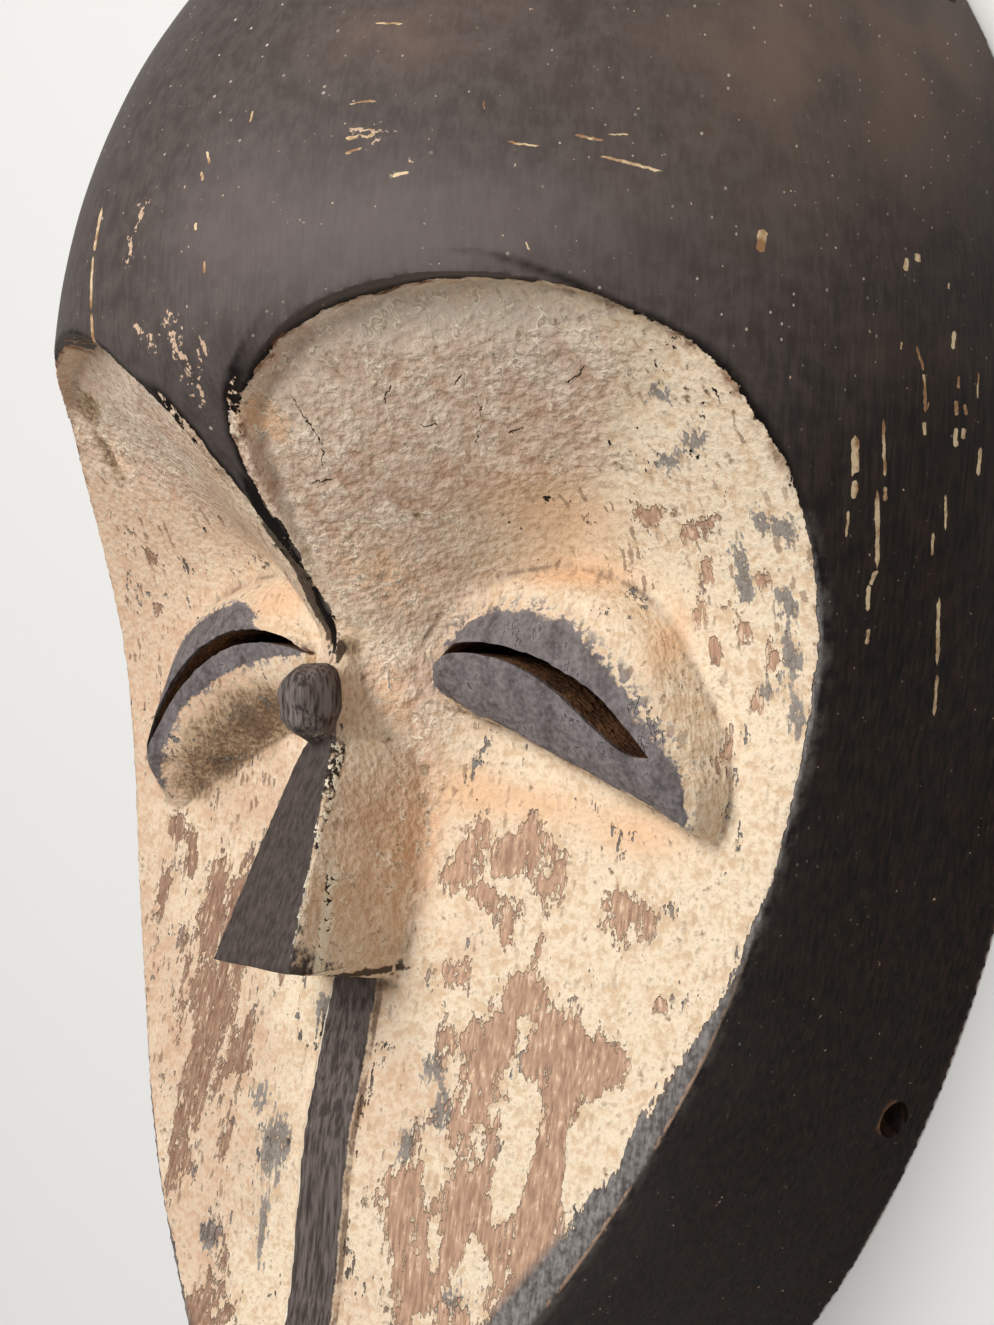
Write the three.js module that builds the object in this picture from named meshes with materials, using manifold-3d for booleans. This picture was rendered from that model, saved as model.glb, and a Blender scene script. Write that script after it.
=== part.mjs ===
// Carved wooden mask with a heart-shaped white face, lying on its flat back rim.
// Millimetres. +X is the viewer's right, +Y the crown, +Z the front. The origin is under the
// middle of the mask, on the plane of the rim.
import * as THREE from 'three';
import { mergeVertices } from 'three/addons/utils/BufferGeometryUtils.js';
import Module from 'manifold-3d';

const wasm = await Module();
wasm.setup();

// Rim outline: an egg, widest above the middle, with a narrow rounded chin
const RIM_HALF_WIDTH = 95;
const RIM_WIDEST_Y = 29;
const CROWN_Y = 163;
const CHIN_Y = -163;
const CROWN_FULLNESS = 2.2;
const CHIN_FULLNESS = 2;
const CHIN_POINTEDNESS = 0.67;

// Side walls lean in as they rise, the chin end a little more than the sides
const SIDE_LEAN = 0.28;
const CHIN_LEAN = 0.33;

// Hood: a dome over the forehead, highest on the line HOOD_CREST_Y
const HOOD_HEIGHT = 104;
const HOOD_CREST_Y = 51;
const HOOD_PROFILE = 1.94;
const HOOD_SECTION = 2.15;
const WALL_TO_HOOD_Y = [-25, 55];

// Widow's peak: the ridge of the hood that runs down between the lobes of the heart
const PEAK_TIP = { y: 2, z: 67.5 };
const PEAK_BLEND_LENGTH = 52;
const PEAK_BLEND_SHARPNESS = 1.5;
const PEAK_SHOULDER = { x: 7, y: 36.5 };
const PEAK_CUT = { xHalf: 48, yLow: -4, yHigh: 60, fadeFrom: 50, fadeTo: 58, fadeLift: 2 };

// Heart outline: lobe top and the place where the lobe meets the side wall
const LOBE_TOP = { x: 46, y: 54.3 };
const LOBE_SIDE = { x: 79.5, y: 30 };

// Heart face: a floor that rises to the brow and to the chin, with a rounded middle
const FLOOR_Z = 50;
const FLOOR_LOW_Y = -7;
const BROW_RISE = 130;
const CHIN_SLOPE = 0.38;
const CHIN_BEND = 28.3;
const LOBE_STEP = 3.4;
const CHEEK_CROWN = 6;
const SOCKET = { x: 40, y: 14, depth: 3, rx: 20, ry: 10 };

// Nose: a wedge with a flat front, and a knob at its root
const NOSE_ROOT = { y: -13, z: 72, half: 3.2, base: 13 };
const NOSE_TIP = { y: -48.5, z: 86, half: 9.2, base: 10 };
const NOSE_UNDERCUT = 6.5;
const NOSE_BASE_BULGE = 2.5;
const KNOB = { y: -6, z: 73.5, rx: 4.7, ry: 6.8, rz: 5.8 };
const ROOT_RIDGE = { halfTop: 3.2, halfFoot: 9, overlap: 3, zUp: 69, zLow: 71.5 };

// Stripe: a flat raised band from under the nose to the chin
const STRIPE_HALF_WIDTH = 5;
const STRIPE_RAISE = 1.3;
const STRIPE_BURIED = 4;
const STRIPE_OVERLAP = 3;

// Eyes: raised almonds, each cut through by a slit. The layers run from the buried foot to the top.
const FEATURE_FOOT_Z = 42;
const EYE_LAYERS = [
  { z: FEATURE_FOOT_Z, inset: -0.5 },
  { z: 51, inset: -0.3 },
  { z: 55.5, inset: 1 },
  { z: 58.8, inset: 2.6 },
  { z: 60.5, inset: 5 },
];
const EYE_CENTRE = { x: 38, y: -3, lift: 0.6 };
const EYE_RING_POINTS = 44;
const LEFT_EYE = { side: -1, droop: 5 };
const RIGHT_EYE = { side: 1, droop: 0 };

// Hollow back: wall thickness, and deeper scoops behind the eyes
const WALL = 10;
const FACE_THICKNESS = 10.5;
const ROOF_SETBACK = { depth: 5, yLow: 1, yHigh: 21, widen: 1.12 };
const SCOOP = { x: 38, y: -2, z: 39, rx: 25, ry: 10, rz: 11.5, turn: -0.36 };

// Cord holes near the rim
const HOLE_RADIUS = 3;
const HOLE_DRILL_LENGTH = 60;
const HOLE_Z = 8.5;
const HOLES = [[75, -75], [75, 112]];
const HOLE_AIM_Y = 18;

// Mesh density, and how far the cutting shapes reach past the wood
const OUTER_MESH = { spokes: 88, levels: 30 };
const INNER_MESH = { spokes: 56, levels: 20 };
const SPOKE_CENTRE_Y = 11;
const SPOKE_CROWDING = 0.2;
const SKIRT = 20;
const CUT_LOW_Z = 10;
const CUT_TOP_Z = 150;
const FAR_RADIUS = 260;

function clamp01(value) {
  return Math.min(1, Math.max(0, value));
}

function smoothstep(low, high, value) {
  const t = clamp01((value - low) / (high - low));
  return t * t * (3 - 2 * t);
}

function mix(a, b, t) {
  return a + (b - a) * t;
}

// Half width of the leaning side wall at height z, with no dome on it
function wallHalfWidth(y, z) {
  const side = RIM_HALF_WIDTH - SIDE_LEAN * z;
  if (y < RIM_WIDEST_Y) {
    const reach = RIM_WIDEST_Y - CHIN_Y - CHIN_LEAN * z;
    const t = (RIM_WIDEST_Y - y) / reach;
    return t >= 1 ? -1 : side * (1 - t ** CHIN_FULLNESS) ** CHIN_POINTEDNESS;
  }
  const t = (y - RIM_WIDEST_Y) / (CROWN_Y - RIM_WIDEST_Y);
  return t >= 1 ? -1 : side * (1 - t ** CROWN_FULLNESS) ** (1 / CROWN_FULLNESS);
}

// Height of the hood's middle line
function hoodCrest(y) {
  const t = clamp01((y - HOOD_CREST_Y) / (CROWN_Y - HOOD_CREST_Y));
  return HOOD_HEIGHT * (1 - t ** HOOD_PROFILE) ** (1 / HOOD_PROFILE);
}

function hoodHalfWidth(y, z) {
  const rim = wallHalfWidth(y, 0);
  const crest = hoodCrest(y);
  return rim < 0 || z >= crest ? -1 : rim * (1 - (z / crest) ** HOOD_SECTION) ** (1 / HOOD_SECTION);
}

// Half width of the whole outer form: leaning wall below, dome above, blended between
function outerHalfWidth(y, z) {
  const share = smoothstep(WALL_TO_HOOD_Y[0], WALL_TO_HOOD_Y[1], y);
  if (share >= 1) return hoodHalfWidth(y, z);
  const wall = wallHalfWidth(y, z);
  return share <= 0 ? wall : mix(wall, Math.max(0, hoodHalfWidth(y, z)), share);
}

// Distance from the spoke centre to the outline at height z, found by halving
function outlineRadius(angle, z, halfWidth) {
  let near = 0;
  let far = FAR_RADIUS;
  for (let i = 0; i < 26; i += 1) {
    const r = (near + far) / 2;
    const y = SPOKE_CENTRE_Y + r * Math.sin(angle);
    if (Math.abs(r * Math.cos(angle)) < halfWidth(y, z)) near = r;
    else far = r;
  }
  return near;
}

// Height of the wooden surface between and above the lobes, where the hood runs into the peak
function peakCrest(y) {
  const t = clamp01((y - PEAK_TIP.y + 1) / PEAK_BLEND_LENGTH);
  const rise = Math.sin(t * Math.PI / 2) ** PEAK_BLEND_SHARPNESS;
  return mix(PEAK_TIP.z, HOOD_HEIGHT, rise);
}

function peakHeight(x, y) {
  const share = Math.min(1, Math.abs(x) / Math.max(1, wallHalfWidth(y, 0)));
  return peakCrest(y) * (1 - share ** HOOD_SECTION) ** (1 / HOOD_SECTION);
}

// Face floor along its side edges
function floorHeight(y) {
  const up = y - FLOOR_LOW_Y;
  if (up > 0) return FLOOR_Z + up * up / BROW_RISE;
  return FLOOR_Z + Math.hypot(CHIN_SLOPE * up, CHIN_BEND) - CHIN_BEND;
}

// Rise of the middle of the face over that floor, and how wide the rise spreads
function middleRise(y) {
  const brow = peakCrest(y) - LOBE_STEP * smoothstep(4, 32, y) - floorHeight(y);
  const cheek = CHEEK_CROWN * smoothstep(-114, -74, y);
  return mix(cheek, brow, smoothstep(-24, PEAK_TIP.y, y));
}

function riseSpread(y) {
  return y > 6 ? mix(24, 70, clamp01((y - 6) / 40)) : mix(62, 24, smoothstep(-64, 2, y));
}

function faceHeight(x, y) {
  const spread = riseSpread(y);
  const across = Math.cos(Math.min(1, Math.abs(x) / spread) * Math.PI / 2) ** 2;
  const dx = (Math.abs(x) - SOCKET.x) / SOCKET.rx;
  const dy = (y - SOCKET.y) / SOCKET.ry;
  const socket = SOCKET.depth * Math.exp(-dx * dx - dy * dy);
  return floorHeight(y) + middleRise(y) * across - socket;
}

// Underside of the face inside the hollow: it drops back behind the brow's slope
function hollowHeight(x, y) {
  const back = ROOF_SETBACK.depth * smoothstep(ROOF_SETBACK.yLow, ROOF_SETBACK.yHigh, y);
  const face = faceHeight(x * ROOF_SETBACK.widen, y - back);
  return Math.min(face, peakHeight(x, y)) - FACE_THICKNESS;
}

// Helpers that turn a geometry into a solid and back
function toSolid(geometry) {
  const plain = geometry.clone();
  plain.deleteAttribute('normal');
  plain.deleteAttribute('uv');
  const merged = mergeVertices(plain, 1e-4);
  return new wasm.Manifold(new wasm.Mesh({
    numProp: 3,
    vertProperties: new Float32Array(merged.attributes.position.array),
    triVerts: new Uint32Array(merged.index.array),
  }));
}

function toGeometry(solid) {
  const mesh = solid.getMesh();
  const geometry = new THREE.BufferGeometry();
  geometry.setAttribute('position', new THREE.BufferAttribute(new Float32Array(mesh.vertProperties), 3));
  geometry.setIndex(new THREE.BufferAttribute(new Uint32Array(mesh.triVerts), 1));
  geometry.computeVertexNormals();
  return geometry;
}

function moveVertices(geometry, place) {
  const position = geometry.attributes.position;
  const point = new THREE.Vector3();
  for (let i = 0; i < position.count; i += 1) {
    point.fromBufferAttribute(position, i);
    place(point);
    position.setXYZ(i, point.x, point.y, point.z);
  }
  return geometry;
}

// A domed body whose level outlines come from halfWidth. It runs on below z = 0 as a skirt.
function domedBody(halfWidth, height, mesh) {
  const ball = new THREE.SphereGeometry(1, mesh.spokes, mesh.levels).rotateX(Math.PI / 2);
  return toSolid(moveVertices(ball, (point) => {
    const flat = Math.hypot(point.x, point.y);
    const turn = Math.atan2(point.y, point.x);
    const angle = turn + SPOKE_CROWDING * Math.sin(2 * turn);
    const buried = point.z < -1e-6;
    const level = buried ? 0 : point.z * height;
    const full = flat < 1e-6 ? 0 : outlineRadius(angle, level, halfWidth);
    const radius = buried ? full * flat : full;
    point.x = radius * Math.cos(angle);
    point.y = SPOKE_CENTRE_Y + radius * Math.sin(angle);
    point.z = buried ? -SKIRT : level;
  }));
}

// Everything above a height function, over a rectangle
function spaceAbove(surface, xHalf, yLow, yHigh, step) {
  const columns = 2 * Math.round(xHalf / step);
  const rows = Math.round((yHigh - yLow) / step);
  const block = new THREE.BoxGeometry(2 * xHalf, yHigh - yLow, 2, columns, rows, 1);
  const middle = (yLow + yHigh) / 2;
  return toSolid(moveVertices(block, (point) => {
    point.y += middle;
    point.z = point.z < 0 ? surface(point.x, point.y) : CUT_TOP_Z;
  }));
}

// Heart outline: follows the peak and the lobes, then runs out past the side walls and the chin
function heartShape() {
  const out = RIM_HALF_WIDTH + 20;
  const low = CHIN_Y - 10;
  const shoulder = PEAK_SHOULDER;
  const edge = LOBE_SIDE.x + 4;
  const shape = new THREE.Shape();
  shape.moveTo(0, PEAK_TIP.y);
  shape.quadraticCurveTo(1.5, 21, shoulder.x, shoulder.y);
  shape.bezierCurveTo(12, 41.5, 28, LOBE_TOP.y, LOBE_TOP.x, LOBE_TOP.y);
  shape.bezierCurveTo(64, LOBE_TOP.y, LOBE_SIDE.x, 46, edge, LOBE_SIDE.y);
  shape.lineTo(out, 6);
  shape.lineTo(out, low);
  shape.lineTo(-out, low);
  shape.lineTo(-out, 6);
  shape.lineTo(-edge, LOBE_SIDE.y);
  shape.bezierCurveTo(-LOBE_SIDE.x, 46, -64, LOBE_TOP.y, -LOBE_TOP.x, LOBE_TOP.y);
  shape.bezierCurveTo(-28, LOBE_TOP.y, -12, 41.5, -shoulder.x, shoulder.y);
  shape.quadraticCurveTo(-1.5, 21, 0, PEAK_TIP.y);
  return shape;
}

// A prism of an outline from one height to another
function prism(shape, low, high, curveSegments) {
  const options = { depth: high - low, bevelEnabled: false, curveSegments };
  return toSolid(new THREE.ExtrudeGeometry(shape, options).translate(0, 0, low));
}

// Nose: cross-sections from the root to the tip, flat in front, wider where they meet the cheeks
function noseSolid() {
  const sections = 6;
  const block = new THREE.BoxGeometry(2, 1, 2, 2, sections, 1);
  return toSolid(moveVertices(block, (point) => {
    const t = 0.5 - point.y;
    const front = point.z > 0;
    const bulge = NOSE_BASE_BULGE * Math.sin(Math.PI * t);
    const half = front
      ? mix(NOSE_ROOT.half, NOSE_TIP.half, t ** 0.8)
      : mix(NOSE_ROOT.base, NOSE_TIP.base, t) + bulge;
    const under = front ? 0 : NOSE_UNDERCUT * t * t;
    point.x *= half;
    point.y = mix(NOSE_ROOT.y, NOSE_TIP.y, t) - under;
    point.z = front ? mix(NOSE_ROOT.z, NOSE_TIP.z, t) : FEATURE_FOOT_Z;
  }));
}

function knobSolid() {
  const ball = new THREE.SphereGeometry(1, 14, 9).rotateX(Math.PI / 2);
  ball.scale(KNOB.rx, KNOB.ry, KNOB.rz).translate(0, KNOB.y, KNOB.z);
  return toSolid(ball);
}

// Ridge of wood that carries the knob and joins it to the peak and the nose
function rootSolid() {
  const block = new THREE.BoxGeometry(2, 1, 2, 1, 2, 1);
  return toSolid(moveVertices(block, (point) => {
    const t = 0.5 - point.y;
    const front = point.z > 0;
    point.x *= front ? ROOT_RIDGE.halfTop : ROOT_RIDGE.halfFoot;
    point.y = mix(PEAK_TIP.y + ROOT_RIDGE.overlap, NOSE_ROOT.y - ROOT_RIDGE.overlap, t);
    point.z = front ? mix(ROOT_RIDGE.zUp, ROOT_RIDGE.zLow, t) : FEATURE_FOOT_Z;
  }));
}

function stripeSolid() {
  const top = NOSE_TIP.y - NOSE_UNDERCUT + STRIPE_OVERLAP;
  const block = new THREE.BoxGeometry(2 * STRIPE_HALF_WIDTH, 1, 2, 2, 14, 1);
  return toSolid(moveVertices(block, (point) => {
    point.y = mix(top, CHIN_Y, 0.5 - point.y);
    const lift = point.z > 0 ? STRIPE_RAISE : -STRIPE_BURIED;
    point.z = faceHeight(point.x, point.y) + lift;
  }));
}

// Almond outline of one eye, from its inner corner over the top. Inset draws it in all round.
function eyeShape(eye, inset) {
  const points = [
    [11, -2], [12, 9 - inset], [24, 16 - inset], [35, 16 - inset],
    [50, 16 - inset], [61, 3], [65, -12 - eye.droop / 2],
    [66, -18 - eye.droop / 2], [66, -28 - eye.droop / 2 + inset], [61, -27 - eye.droop / 2 + inset],
    [51, -23 - eye.droop / 2 + inset], [31, -14 + inset], [11, -2],
  ].map(([x, y]) => [eye.side * (x < 20 ? x + inset : x > 55 ? x - inset : x), y]);
  const shape = new THREE.Shape();
  shape.moveTo(...points[0]);
  for (let i = 1; i < points.length; i += 3) {
    shape.bezierCurveTo(...points[i], ...points[i + 1], ...points[i + 2]);
  }
  return shape;
}

// Raised eye: stacked rings of the almond, steep below and rounded above
function eyeSolid(eye) {
  const count = EYE_RING_POINTS;
  const top = EYE_LAYERS.length - 1;
  const rings = EYE_LAYERS.map((layer) => {
    const ring = eyeShape(eye, layer.inset).getSpacedPoints(count).slice(0, count);
    return THREE.ShapeUtils.isClockWise(ring) ? ring.reverse() : ring;
  });
  const tube = new THREE.CylinderGeometry(1, 1, 1, count, top, false).rotateX(Math.PI / 2);
  const stepAngle = 2 * Math.PI / count;
  const centre = { x: eye.side * EYE_CENTRE.x, y: EYE_CENTRE.y - eye.droop / 3 };
  return toSolid(moveVertices(tube, (point) => {
    const row = Math.round((point.z + 0.5) * top);
    const onAxis = Math.hypot(point.x, point.y) < 0.5;
    const turn = Math.atan2(point.y, point.x) / stepAngle;
    const index = (Math.round(turn) % count + count) % count;
    const spot = onAxis ? centre : rings[row][index];
    point.set(spot.x, spot.y, EYE_LAYERS[row].z + (onAxis && row > 0 ? EYE_CENTRE.lift : 0));
  }));
}

// Slit between the lids, cut right through
function slitShape(eye) {
  const s = eye.side;
  const d = eye.droop;
  const shape = new THREE.Shape();
  shape.moveTo(s * 16, 2);
  shape.bezierCurveTo(s * 24, 7 + d / 2, s * 44, 3.5 + d / 2, s * 57.5, -12 - d);
  shape.bezierCurveTo(s * 50, -13.5 - d / 2, s * 36, 4 + d / 2, s * 16, 2);
  return shape;
}

// Turned and scaled ball for the scoop behind one eye
function scoopSolid(side) {
  const ball = new THREE.SphereGeometry(1, 20, 10).rotateX(Math.PI / 2);
  ball.scale(SCOOP.rx, SCOOP.ry, SCOOP.rz).rotateZ(side * SCOOP.turn);
  return toSolid(ball.translate(side * SCOOP.x, SCOOP.y, SCOOP.z));
}

function holeSolid(x, y) {
  const drill = new THREE.CylinderGeometry(HOLE_RADIUS, HOLE_RADIUS, HOLE_DRILL_LENGTH, 14);
  drill.rotateZ(Math.atan2(y - HOLE_AIM_Y, x) - Math.PI / 2);
  return toSolid(drill.translate(x, y, HOLE_Z));
}

// Outer form, trimmed flat at the rim, with the peak and the heart carved into it
function carvedFront() {
  const ground = new THREE.BoxGeometry(4 * RIM_HALF_WIDTH, 4 * CROWN_Y, 2 * SKIRT);
  const peak = PEAK_CUT;
  const peakCut = spaceAbove(
    (x, y) => peakHeight(x, y) + peak.fadeLift * smoothstep(peak.fadeFrom, peak.fadeTo, y),
    peak.xHalf,
    peak.yLow,
    peak.yHigh,
    4,
  );
  const faceCut = spaceAbove(faceHeight, RIM_HALF_WIDTH + 5, CHIN_Y - 5, LOBE_TOP.y + 7, 5)
    .intersect(prism(heartShape(), CUT_LOW_Z, CUT_TOP_Z + 10, 10));
  const body = domedBody(outerHalfWidth, HOOD_HEIGHT, OUTER_MESH)
    .subtract(toSolid(ground.translate(0, 0, -SKIRT)));
  return body
    .subtract(peakCut)
    .subtract(faceCut)
    .add(stripeSolid().intersect(body));
}

// Hollow for the wearer's face: the outer form drawn in by the wall, roofed by the face's underside
function hollowSolid() {
  const reach = CROWN_Y - SPOKE_CENTRE_Y;
  const innerHeight = HOOD_HEIGHT - WALL;
  const innerHalfWidth = (y, z) => {
    const outerY = SPOKE_CENTRE_Y + (y - SPOKE_CENTRE_Y) * reach / (reach - WALL);
    return outerHalfWidth(outerY, z * HOOD_HEIGHT / innerHeight) - WALL;
  };
  const roof = spaceAbove(hollowHeight, RIM_HALF_WIDTH, CHIN_Y, LOBE_TOP.y + 10, 8);
  return domedBody(innerHalfWidth, innerHeight, INNER_MESH).subtract(roof);
}

function carveMask() {
  let mask = carvedFront()
    .add(noseSolid())
    .add(rootSolid())
    .add(knobSolid());
  for (const eye of [LEFT_EYE, RIGHT_EYE]) mask = mask.add(eyeSolid(eye));
  mask = mask.subtract(hollowSolid());
  for (const eye of [LEFT_EYE, RIGHT_EYE]) {
    mask = mask.subtract(prism(slitShape(eye), CUT_LOW_Z, CUT_TOP_Z, 12));
    mask = mask.subtract(scoopSolid(eye.side));
    for (const [x, y] of HOLES) mask = mask.subtract(holeSolid(eye.side * x, y));
  }
  return mask;
}

const wood = new THREE.MeshStandardMaterial({ color: '#4a3b34', roughness: 0.6, metalness: 0 });
const mask = new THREE.Mesh(toGeometry(carveMask()), wood);
mask.name = 'mask';

const group = new THREE.Group();
group.add(mask);
export default group;
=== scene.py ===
"""A carved wooden mask: a whitened heart-shaped face set into a dark domed hood.

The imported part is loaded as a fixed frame. One finely carved piece takes the place of the plain
solid, in the same frame: metres, +X the viewer's right, +Y the crown, +Z the front of the face.
The mask lies on its flat rim, and the camera looks down on it.
"""

import logging
import math
from dataclasses import dataclass
from enum import Enum
from functools import partial, reduce
from typing import Callable, Sequence

import bpy
import numpy as np
from mathutils import Matrix, Vector


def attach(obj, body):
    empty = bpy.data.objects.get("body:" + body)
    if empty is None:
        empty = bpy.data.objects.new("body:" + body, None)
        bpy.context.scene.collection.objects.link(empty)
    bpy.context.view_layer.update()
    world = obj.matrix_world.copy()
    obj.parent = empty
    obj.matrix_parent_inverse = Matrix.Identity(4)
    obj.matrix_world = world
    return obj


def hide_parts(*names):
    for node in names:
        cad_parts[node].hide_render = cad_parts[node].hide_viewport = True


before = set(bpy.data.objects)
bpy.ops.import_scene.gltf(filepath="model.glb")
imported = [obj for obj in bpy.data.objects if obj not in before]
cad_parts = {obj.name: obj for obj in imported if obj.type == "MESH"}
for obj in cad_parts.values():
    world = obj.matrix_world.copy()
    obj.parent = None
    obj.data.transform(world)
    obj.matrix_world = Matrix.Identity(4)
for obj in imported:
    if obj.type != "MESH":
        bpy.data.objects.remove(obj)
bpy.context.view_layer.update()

LOG = logging.getLogger("mask")
MM = 0.001
# How many points are measured against an outline at once: few enough to stay in the processor's cache
BATCH = 1000
# A height in millimetres that is above the whole mask
CLEAR = 150.0


# Arithmetic on whole arrays of points


def smoothstep(low: float, high: float, value: np.ndarray) -> np.ndarray:
    """Rise softly from 0 at low to 1 at high."""
    t = np.clip((value - low) / (high - low), 0.0, 1.0)
    return t * t * (3.0 - 2.0 * t)


def mix(a: np.ndarray, b: np.ndarray, t: np.ndarray) -> np.ndarray:
    """Blend from a to b as t goes from 0 to 1."""
    return a + (b - a) * t


def blob(points: np.ndarray, x: float, y: float, rx: float, ry: float) -> np.ndarray:
    """Give a soft round spot in plan, 1 in its middle and 0 well outside.

    Args:
        points: Points in millimetres, one per row.
        x: Middle of the spot across.
        y: Middle of the spot up the face.
        rx: Half width.
        ry: Half height.

    Returns:
        One weight per point.
    """
    u = (points[:, 0] - x) / rx
    v = (points[:, 1] - y) / ry
    return np.exp(-(u * u + v * v))


def smooth_path(points: Sequence[tuple[float, float]], per_span: int, closed: bool) -> np.ndarray:
    """Draw a smooth line through plan points.

    Args:
        points: The points that the line goes through, in millimetres.
        per_span: How many points the line gets between two of them.
        closed: Whether the line comes back to its start.

    Returns:
        The line's points, one per row.
    """
    p = np.array(points, float)
    n = len(p)
    spans = n if closed else n - 1
    t = np.linspace(0.0, 1.0, per_span, endpoint=False)[:, None]
    rows = []
    for i in range(spans):
        if closed:
            a, b, c, d = p[(i - 1) % n], p[i], p[(i + 1) % n], p[(i + 2) % n]
        else:
            a, b, c, d = p[max(0, i - 1)], p[i], p[i + 1], p[min(n - 1, i + 2)]
        bend = (2 * a - 5 * b + 4 * c - d) * t**2 + (3 * b - a - 3 * c + d) * t**3
        rows.append(0.5 * (2 * b + (c - a) * t + bend))
    if not closed:
        rows.append(p[-1:])
    return np.concatenate(rows)


def depth_inside(points: np.ndarray, outline: np.ndarray) -> np.ndarray:
    """Measure how far each point lies inside a closed plan outline.

    Args:
        points: Points in millimetres, one per row.
        outline: The outline's corners in order, one per row.

    Returns:
        The distance to the outline, positive inside it and negative outside.
    """
    result = np.empty(len(points))
    ahead, up = (np.roll(outline, -1, axis=0) - outline).T
    length2 = ahead**2 + up**2 + 1e-12
    lean = ahead / np.where(np.abs(up) < 1e-9, 1e-9, up)
    for start in range(0, len(points), BATCH):
        batch = points[start : start + BATCH, :2]
        u = batch[:, :1] - outline[:, 0]
        v = batch[:, 1:] - outline[:, 1]
        t = np.clip((u * ahead + v * up) / length2, 0.0, 1.0)
        gap = np.sqrt(((u - t * ahead) ** 2 + (v - t * up) ** 2).min(1))
        crosses = (v < 0.0) != (v < up)
        inside = (crosses & (u < v * lean)).sum(1) % 2 == 1
        result[start : start + BATCH] = np.where(inside, gap, -gap)
    return result


@dataclass(frozen=True)
class Roughness:
    """Smooth random unevenness of one grain size, the same on every run."""

    size: float
    seed: int
    stretch: tuple[float, float, float] = (1.0, 1.0, 1.0)

    def _corner(self, cell: np.ndarray) -> np.ndarray:
        """Give the random value at whole-number corners, from -1 to 1.

        Args:
            cell: The corners, one per row.

        Returns:
            One value per corner.
        """
        c = cell.astype(np.uint64)
        h = c[:, 0] * np.uint64(374761393) + c[:, 1] * np.uint64(668265263) + c[:, 2] * np.uint64(2246822519)
        h = (h + np.uint64(self.seed * 3266489917)) & np.uint64(0xFFFFFFFF)
        h = ((h ^ (h >> np.uint64(13))) * np.uint64(1274126177)) & np.uint64(0xFFFFFFFF)
        h = h ^ (h >> np.uint64(16))
        return h.astype(float) / 2147483648.0 - 1.0

    def at(self, points: np.ndarray) -> np.ndarray:
        """Sample the unevenness.

        Args:
            points: Points in millimetres, one per row.

        Returns:
            One value per point, from about -1 to 1.
        """
        q = points / (self.size * np.array(self.stretch)) + 5000.0
        cell = np.floor(q)
        f = q - cell
        f = f * f * (3.0 - 2.0 * f)
        total = np.zeros(len(points))
        for corner in range(8):
            step = np.array([corner & 1, corner >> 1 & 1, corner >> 2 & 1])
            weight = np.prod(np.where(step == 1, f, 1.0 - f), axis=1)
            total += weight * self._corner(cell + step)
        return total


# Shapes of the carving, in millimetres, as functions of the place in plan


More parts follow.
